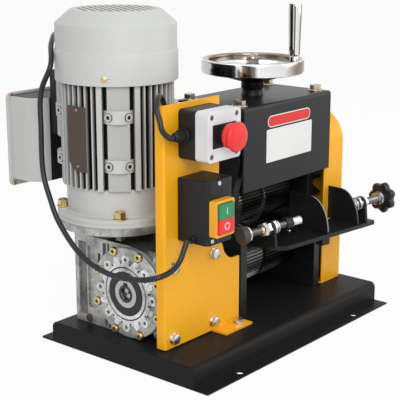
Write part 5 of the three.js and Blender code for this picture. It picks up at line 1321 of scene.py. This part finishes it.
class STRIPPER_OT_guide_table(Builder, bpy.types.Operator):
    """Wire guide table with its fins and ears"""
    bl_idname = "stripper.guide_table"
    bl_label = "Guide table"

    def build(self, scene):
        b = "black_enamel"
        outline = [*arc(-79, 7, 26, 180, 270, 10), *arc(112, -15, 4, 270, 360, 4), (116, 36), (38, 36),
                   (38, 62), (-95, 62), (-95, 36), (-105, 36)]
        weld("table_plate", TABLE, [
            Form().drawn(b, outline, -6, 0),
            Form().block(b, -8.5, 8, -18, -4, -16, -3),
        ], [Form().drawn(b, even(-46.5, -40, -14, 7, 3.2), -1.6, 4)], "black_paint", "guide_table", 0.9, 3)
        self.fin("fixed_fin", 2.5, 60, "frame", "middle_fin", "worn_grey")
        self.fin("sliding_fin", 72.5, 42, "right_guide", "right_fin", "worn_black")
        nut = rod_nut(Form(), 75.5, 0.2)
        nut.ring("zinc", 11.2, 6.2, 82.2, 83.4, aim=X, sides=40, edge=0.2)
        nut.put("fin_nut", ROD, "zinc", body="right_guide")
        self.ears()
        screws = Form()
        for x, y in ((-23.6, 35.4), (48, 22)):
            screws.turned("zinc", [(0, 0), (3.4, 0), (3.0, 1.2), (1.6, 1.8), (0, 1.9)], (x, y, 0), Z, 24)
        screws.put("table_screws", TABLE, "zinc")

    @staticmethod
    def fin(name, at, back, body, node, edge_look):
        points = table_fin(back)
        form = Form().drawn("black_enamel", points, at, at + 3, "x")
        form.put(name, TABLE, "black_paint", node, 0.35, body=body)
        # A strip along the fin's top edge, lighter than the fin: rubbed wear and a painted highlight
        sides = [[(x, u - 0.06, v + 0.06) for u, v in points[1:-2]] for x in (at + 0.5, at + 2.5)]
        edge = Form().sheet(edge_look, *sides)
        edge.put(name + "_worn_edge", TABLE, "black_paint", body=body)

    @staticmethod
    def ears():
        b = "black_enamel"
        for name, at, node in (("ear_left", -107, "left_rod_ear"), ("ear_right", 98.2, "right_rod_ear")):
            outline = [(-14, 0.2), (14, 0.2), *arc(0, 27, 11, 0, 180, 14)]
            plate = Form().drawn(b, outline, at, at + 5, "x")
            bore = Form().bar(b, 6.5, at - 5, at + 10, (0, 0, 27), X)
            weld(name, TABLE, [plate], [bore], "black_paint", node, 0.6)
        nuts = Form()
        for low, turn in ((-121.1, 0.1), (-113.9, 0.5), (-102.1, 0.3), (91.2, 0.2), (103.1, 0.4)):
            rod_nut(nuts, low, turn)
        for low, high in ((-95.1, -94.0), (90.0, 91.2)):
            nuts.ring("zinc", 11.0, 6.2, low, high, aim=X, sides=40, edge=0.2)
        nuts.put("ear_nuts", ROD, "zinc")


class STRIPPER_OT_guide_screws(Builder, bpy.types.Operator):
    """The two guide screws with their knobs"""
    bl_idname = "stripper.guide_screws"
    bl_label = "Guide screws"

    def build(self, scene):
        left = Form()
        for name, low, high in (
            ("worn_black", -151, -124), ("gold_zinc", -124, -112), ("worn_black", -112, -58),
        ):
            thread(left, name, low, high)
        knob = [(0, -165), (10.6, -165), (12.2, -163.4), (12.2, -154.2), (11.4, -153.6), (0, -153.6)]
        left.turned("brown_plastic", knob, aim=X, sides=56)
        for y, z in circle_places(40, 12.05):
            left.bar("brown_plastic", 0.5, -163.2, -154.6, (0, y, z), X, 6)
        collar = [(0, -153.6), (11.6, -153.6), (12.0, -153), (12.0, -151.8), (11.2, -151), (0, -151)]
        left.turned("bright_edge", collar, aim=X, sides=48)
        stop = [(0, -59), (6.6, -59), (7.4, -58.2), (7.4, -43.2), (6.4, -42), (0, -42)]
        left.turned("zinc", stop, aim=X, sides=40)
        left.put("left_guide_rod", ROD, "zinc", "left_screw", body="left_guide_screw")
        sleeve = Form().ring("black_enamel", 9.5, 6.3, -75.5, -61.5, aim=X, sides=48, edge=0.8)
        sleeve.put("left_guide_sleeve", ROD, "black_paint", "left_sleeve", body="left_guide")
        star = Form()
        thread(star, "dark_steel", 75.9, 150)
        rod_nut(star, 138.5, 0.25, 7.5)
        star.turned("bright_edge", [(0, 146), (10.6, 146), (10.6, 147.6), (0, 147.6)], aim=X, sides=40)
        star.put("star_rod", ROD, "zinc", "star_screw", body="right_guide_screw")
        self.knob()

    @staticmethod
    def knob():
        lobes, hollow, swell, points = 7, 20.2, 4.6, 112
        rings = []
        for at, shrink in ((150, 0.80), (151, 0.93), (153, 1.0), (158, 1.0), (160, 0.95), (161, 0.84)):
            ring = []
            for i in range(points):
                angle = 2 * math.pi * i / points
                wave = 0.5 + 0.5 * math.cos(lobes * angle)
                ring.append(Vector((at, *polar((hollow + swell * wave ** 0.7) * shrink, angle))))
            rings.append(ring)
        form = Form().skin(rings, "knob_plastic")
        form.turned("knob_plastic", [(0, 147.6), (9, 147.6), (10.5, 151), (0, 151)], aim=X, sides=40)
        form.put("star_grip", ROD, "black_plastic", "star_knob", angle=60, body="right_guide_screw")


# ---------------------------------------------------------------- controls

# Outlines of the stop box, outside and inside its walls
STOP_OUTSIDE = even(-34, 34, -33, 33, 6)
STOP_INSIDE = even(-31, 31, -30, 30, 4)


class STRIPPER_OT_stop_box(Builder, bpy.types.Operator):
    """Emergency stop box with its mushroom cap"""
    bl_idname = "stripper.stop_box"
    bl_label = "Stop box"

    def build(self, scene):
        k = "black_plastic"
        shell = Form().drawn(k, STOP_OUTSIDE, -29, 0, "y")
        hollow = Form().drawn(k, STOP_INSIDE, -40, -3, "y")
        weld("stop_case", STOP, [shell], [hollow], "black_plastic", "stop_box_base", 1.4, 3)
        outlet = gland(Form(), (-34, -12, 0), -X)
        outlet.put("stop_gland", STOP, "black_plastic")
        self.lid()
        self.cap()

    @staticmethod
    def lid():
        g = "lid_plastic"
        shell = Form().drawn(g, STOP_OUTSIDE, -50, -29.2, "y")
        hollow = Form().drawn(g, STOP_INSIDE, -47, -20, "y")
        corners = [(x, z) for x in (-25.5, 25.5) for z in (-25.5, 25.5)]
        wells = [Form().bar(g, 3.6, -60, -48.4, (x, 0, z), Y, 28) for x, z in corners]
        window = Form().drawn(g, even(-24, 24, -15.5, 15.5, 1.0, 3), -60, -49.4, "y")
        weld("stop_cover", STOP, [shell], [hollow, *wells, window], "pale_grey_plastic", "stop_box_lid", 1.8, 4)
        form = Form().drawn("black_plastic", even(-23.8, 23.8, -15.3, 15.3, 1.0, 3), -50.6, -48, "y")
        collar = [(8.5, 50), (13, 50), (13, 54.6), (12.2, 55.6), (8.5, 56), (8.5, 50)]
        form.turned("black_plastic", collar, aim=-Y)
        form.put("stop_insert", STOP, "black_plastic", bevel=0.4)
        screws = Form()
        for x, z in corners:
            screws.cap((x, -48.5, z), -Y, "dark_steel", 3.1, 1.6, 1.3)
        screws.put("stop_cover_screws", STOP, "zinc")

    @staticmethod
    def cap():
        stem = Form().bar("black_plastic", 8, 35, 63.3, aim=-Y)
        stem.put("stop_plunger", STOP, "black_plastic", "stop_stem", body="stop_plunger")
        profile = [(0, 63.2), (13.7, 63.2), (13.7, 57.6), (14.4, 57), (15.6, 57.4), (16.4, 58.6), (16.6, 61),
                   (16.0, 63.6), (15.2, 65.4), (16.2, 67), (19.2, 68.4), (20, 70),
                   (19.7, 71.6), (18.4, 73.4), (15.4, 74.8), (10, 75.7), (5, 76), (0, 76)]
        form = Form().turned("red_plastic", profile, aim=-Y, sides=72)
        form.put("mushroom_cap", STOP, "red_plastic", "stop_button", angle=60, body="stop_cap")


class STRIPPER_OT_switch_box(Builder, bpy.types.Operator):
    """Start and stop switch in its box"""
    bl_idname = "stripper.switch_box"
    bl_label = "Switch box"

    def build(self, scene):
        k = "black_plastic"
        shell = Form().drawn(k, rounded(-27, 27, -52, 0, 8, 8, 0, 0, 8), -43, 43)
        outlet = Form().turned(k, [(0, 0), (5.2, 0), (5.2, 3.4), (4.6, 4), (0, 4)], (-27, -26, -37), -X, 32)
        weld("switch_case", SWITCH, [shell], (), "black_plastic", "switch_box", 1.6, 3)
        outlet.put("switch_outlet", SWITCH, "black_plastic")
        screws = Form()
        for x, z in ((-3.6, 38.6), (-18, -36.5)):
            screws.cap((x, -52, z), -Y, "zinc", 3.0, 0.9, 1.2)
        screws.put("switch_screws", SWITCH, "zinc")
        rim = Form().drawn("yellow_plastic", even(-25, 14, -30, 19, 3.5, 6), -64, -52, "y")
        well = Form().drawn("yellow_plastic", even(-21, 10, -26, 15, 1.2, 3), -70, -54, "y")
        weld("switch_bezel", SWITCH, [rim], [well], "yellow_paint", "switch_frame", 1.0, 3)
        self.keys()

    @staticmethod
    def keys():
        left, right, front, inner = -20.6, 9.6, -67, -58.6
        start = Form().block("green_plastic", left, right, front, inner, -5.3, 14.6)
        start.block("white_print", -6.1, -4.9, front - 0.12, front + 0.1, 0.2, 9.2)
        start.put("start_pad", SWITCH, "green_plastic", "start_button", 0.7, 3, body="start_key")
        stop = Form().block("red_plastic", left, right, front, inner, -25.6, -5.7)
        stop.put("stop_pad", SWITCH, "red_plastic", "stop_key", 0.7, 3, body="stop_switch_key")
        mark = Form().ring("white_print", 5.0, 3.7, 66.9, 67.12, (-5.5, 0, -15.6), -Y, 40)
        mark.put("stop_mark", SWITCH, "red_plastic", body="stop_switch_key")


class STRIPPER_OT_inner_works(Builder, bpy.types.Operator):
    """Finishes of the solids that stay as they are"""
    bl_idname = "stripper.inner_works"
    bl_label = "Inner works"

    def build(self, scene):
        for node, name in (
            ("worm_wheel", "shaft_and_wheel"), ("worm", "steel"), ("stator", "copper"), ("rotor", "steel"),
            ("drive_shaft", "steel"), ("drive_gear", "dark_steel"), ("blade_gear", "dark_steel"),
            ("left_bearing_block", "black_enamel"), ("right_bearing_block", "black_enamel"),
            ("yoke", "black_enamel"),
        ):
            coat(node, name)


# ---------------------------------------------------------------- add-on

OPERATORS = (
    STRIPPER_OT_stage, STRIPPER_OT_cables, STRIPPER_OT_tray, STRIPPER_OT_drive_panel, STRIPPER_OT_gearbox,
    STRIPPER_OT_motor, STRIPPER_OT_terminal_box, STRIPPER_OT_head, STRIPPER_OT_handwheel, STRIPPER_OT_rollers,
    STRIPPER_OT_gear_guard, STRIPPER_OT_guide_table, STRIPPER_OT_guide_screws, STRIPPER_OT_stop_box,
    STRIPPER_OT_switch_box, STRIPPER_OT_inner_works,
)
GROUPS = {
    "stripper_paint": StripperPaint,
    "stripper_motor": StripperMotor,
    "stripper_rollers": StripperRollers,
    "stripper_stage": StripperStage,
}


class STRIPPER_PT_panel(bpy.types.Panel):
    """Sizes, colours and pieces of the wire stripping machine"""
    bl_idname = "STRIPPER_PT_panel"
    bl_label = "Wire Stripper"
    bl_space_type = "VIEW_3D"
    bl_region_type = "UI"
    bl_category = "Wire Stripper"

    def draw(self, context):
        for attribute, group in GROUPS.items():
            values = getattr(context.scene, attribute)
            box = self.layout.box()
            for name in group.__annotations__:
                box.prop(values, name)
        for operator in OPERATORS:
            self.layout.operator(operator.bl_idname)


def register():
    for group in GROUPS.values():
        bpy.utils.register_class(group)
    for attribute, group in GROUPS.items():
        setattr(bpy.types.Scene, attribute, bpy.props.PointerProperty(type=group))
    for operator in (*OPERATORS, STRIPPER_PT_panel):
        bpy.utils.register_class(operator)


def unregister():
    for operator in reversed((*OPERATORS, STRIPPER_PT_panel)):
        bpy.utils.unregister_class(operator)
    for attribute, group in GROUPS.items():
        delattr(bpy.types.Scene, attribute)
        bpy.utils.unregister_class(group)


def main():
    register()
    for operator in OPERATORS:
        group, name = operator.bl_idname.split(".")
        getattr(getattr(bpy.ops, group), name)()
    bpy.context.view_layer.update()


if __name__ == "__main__":
    main()
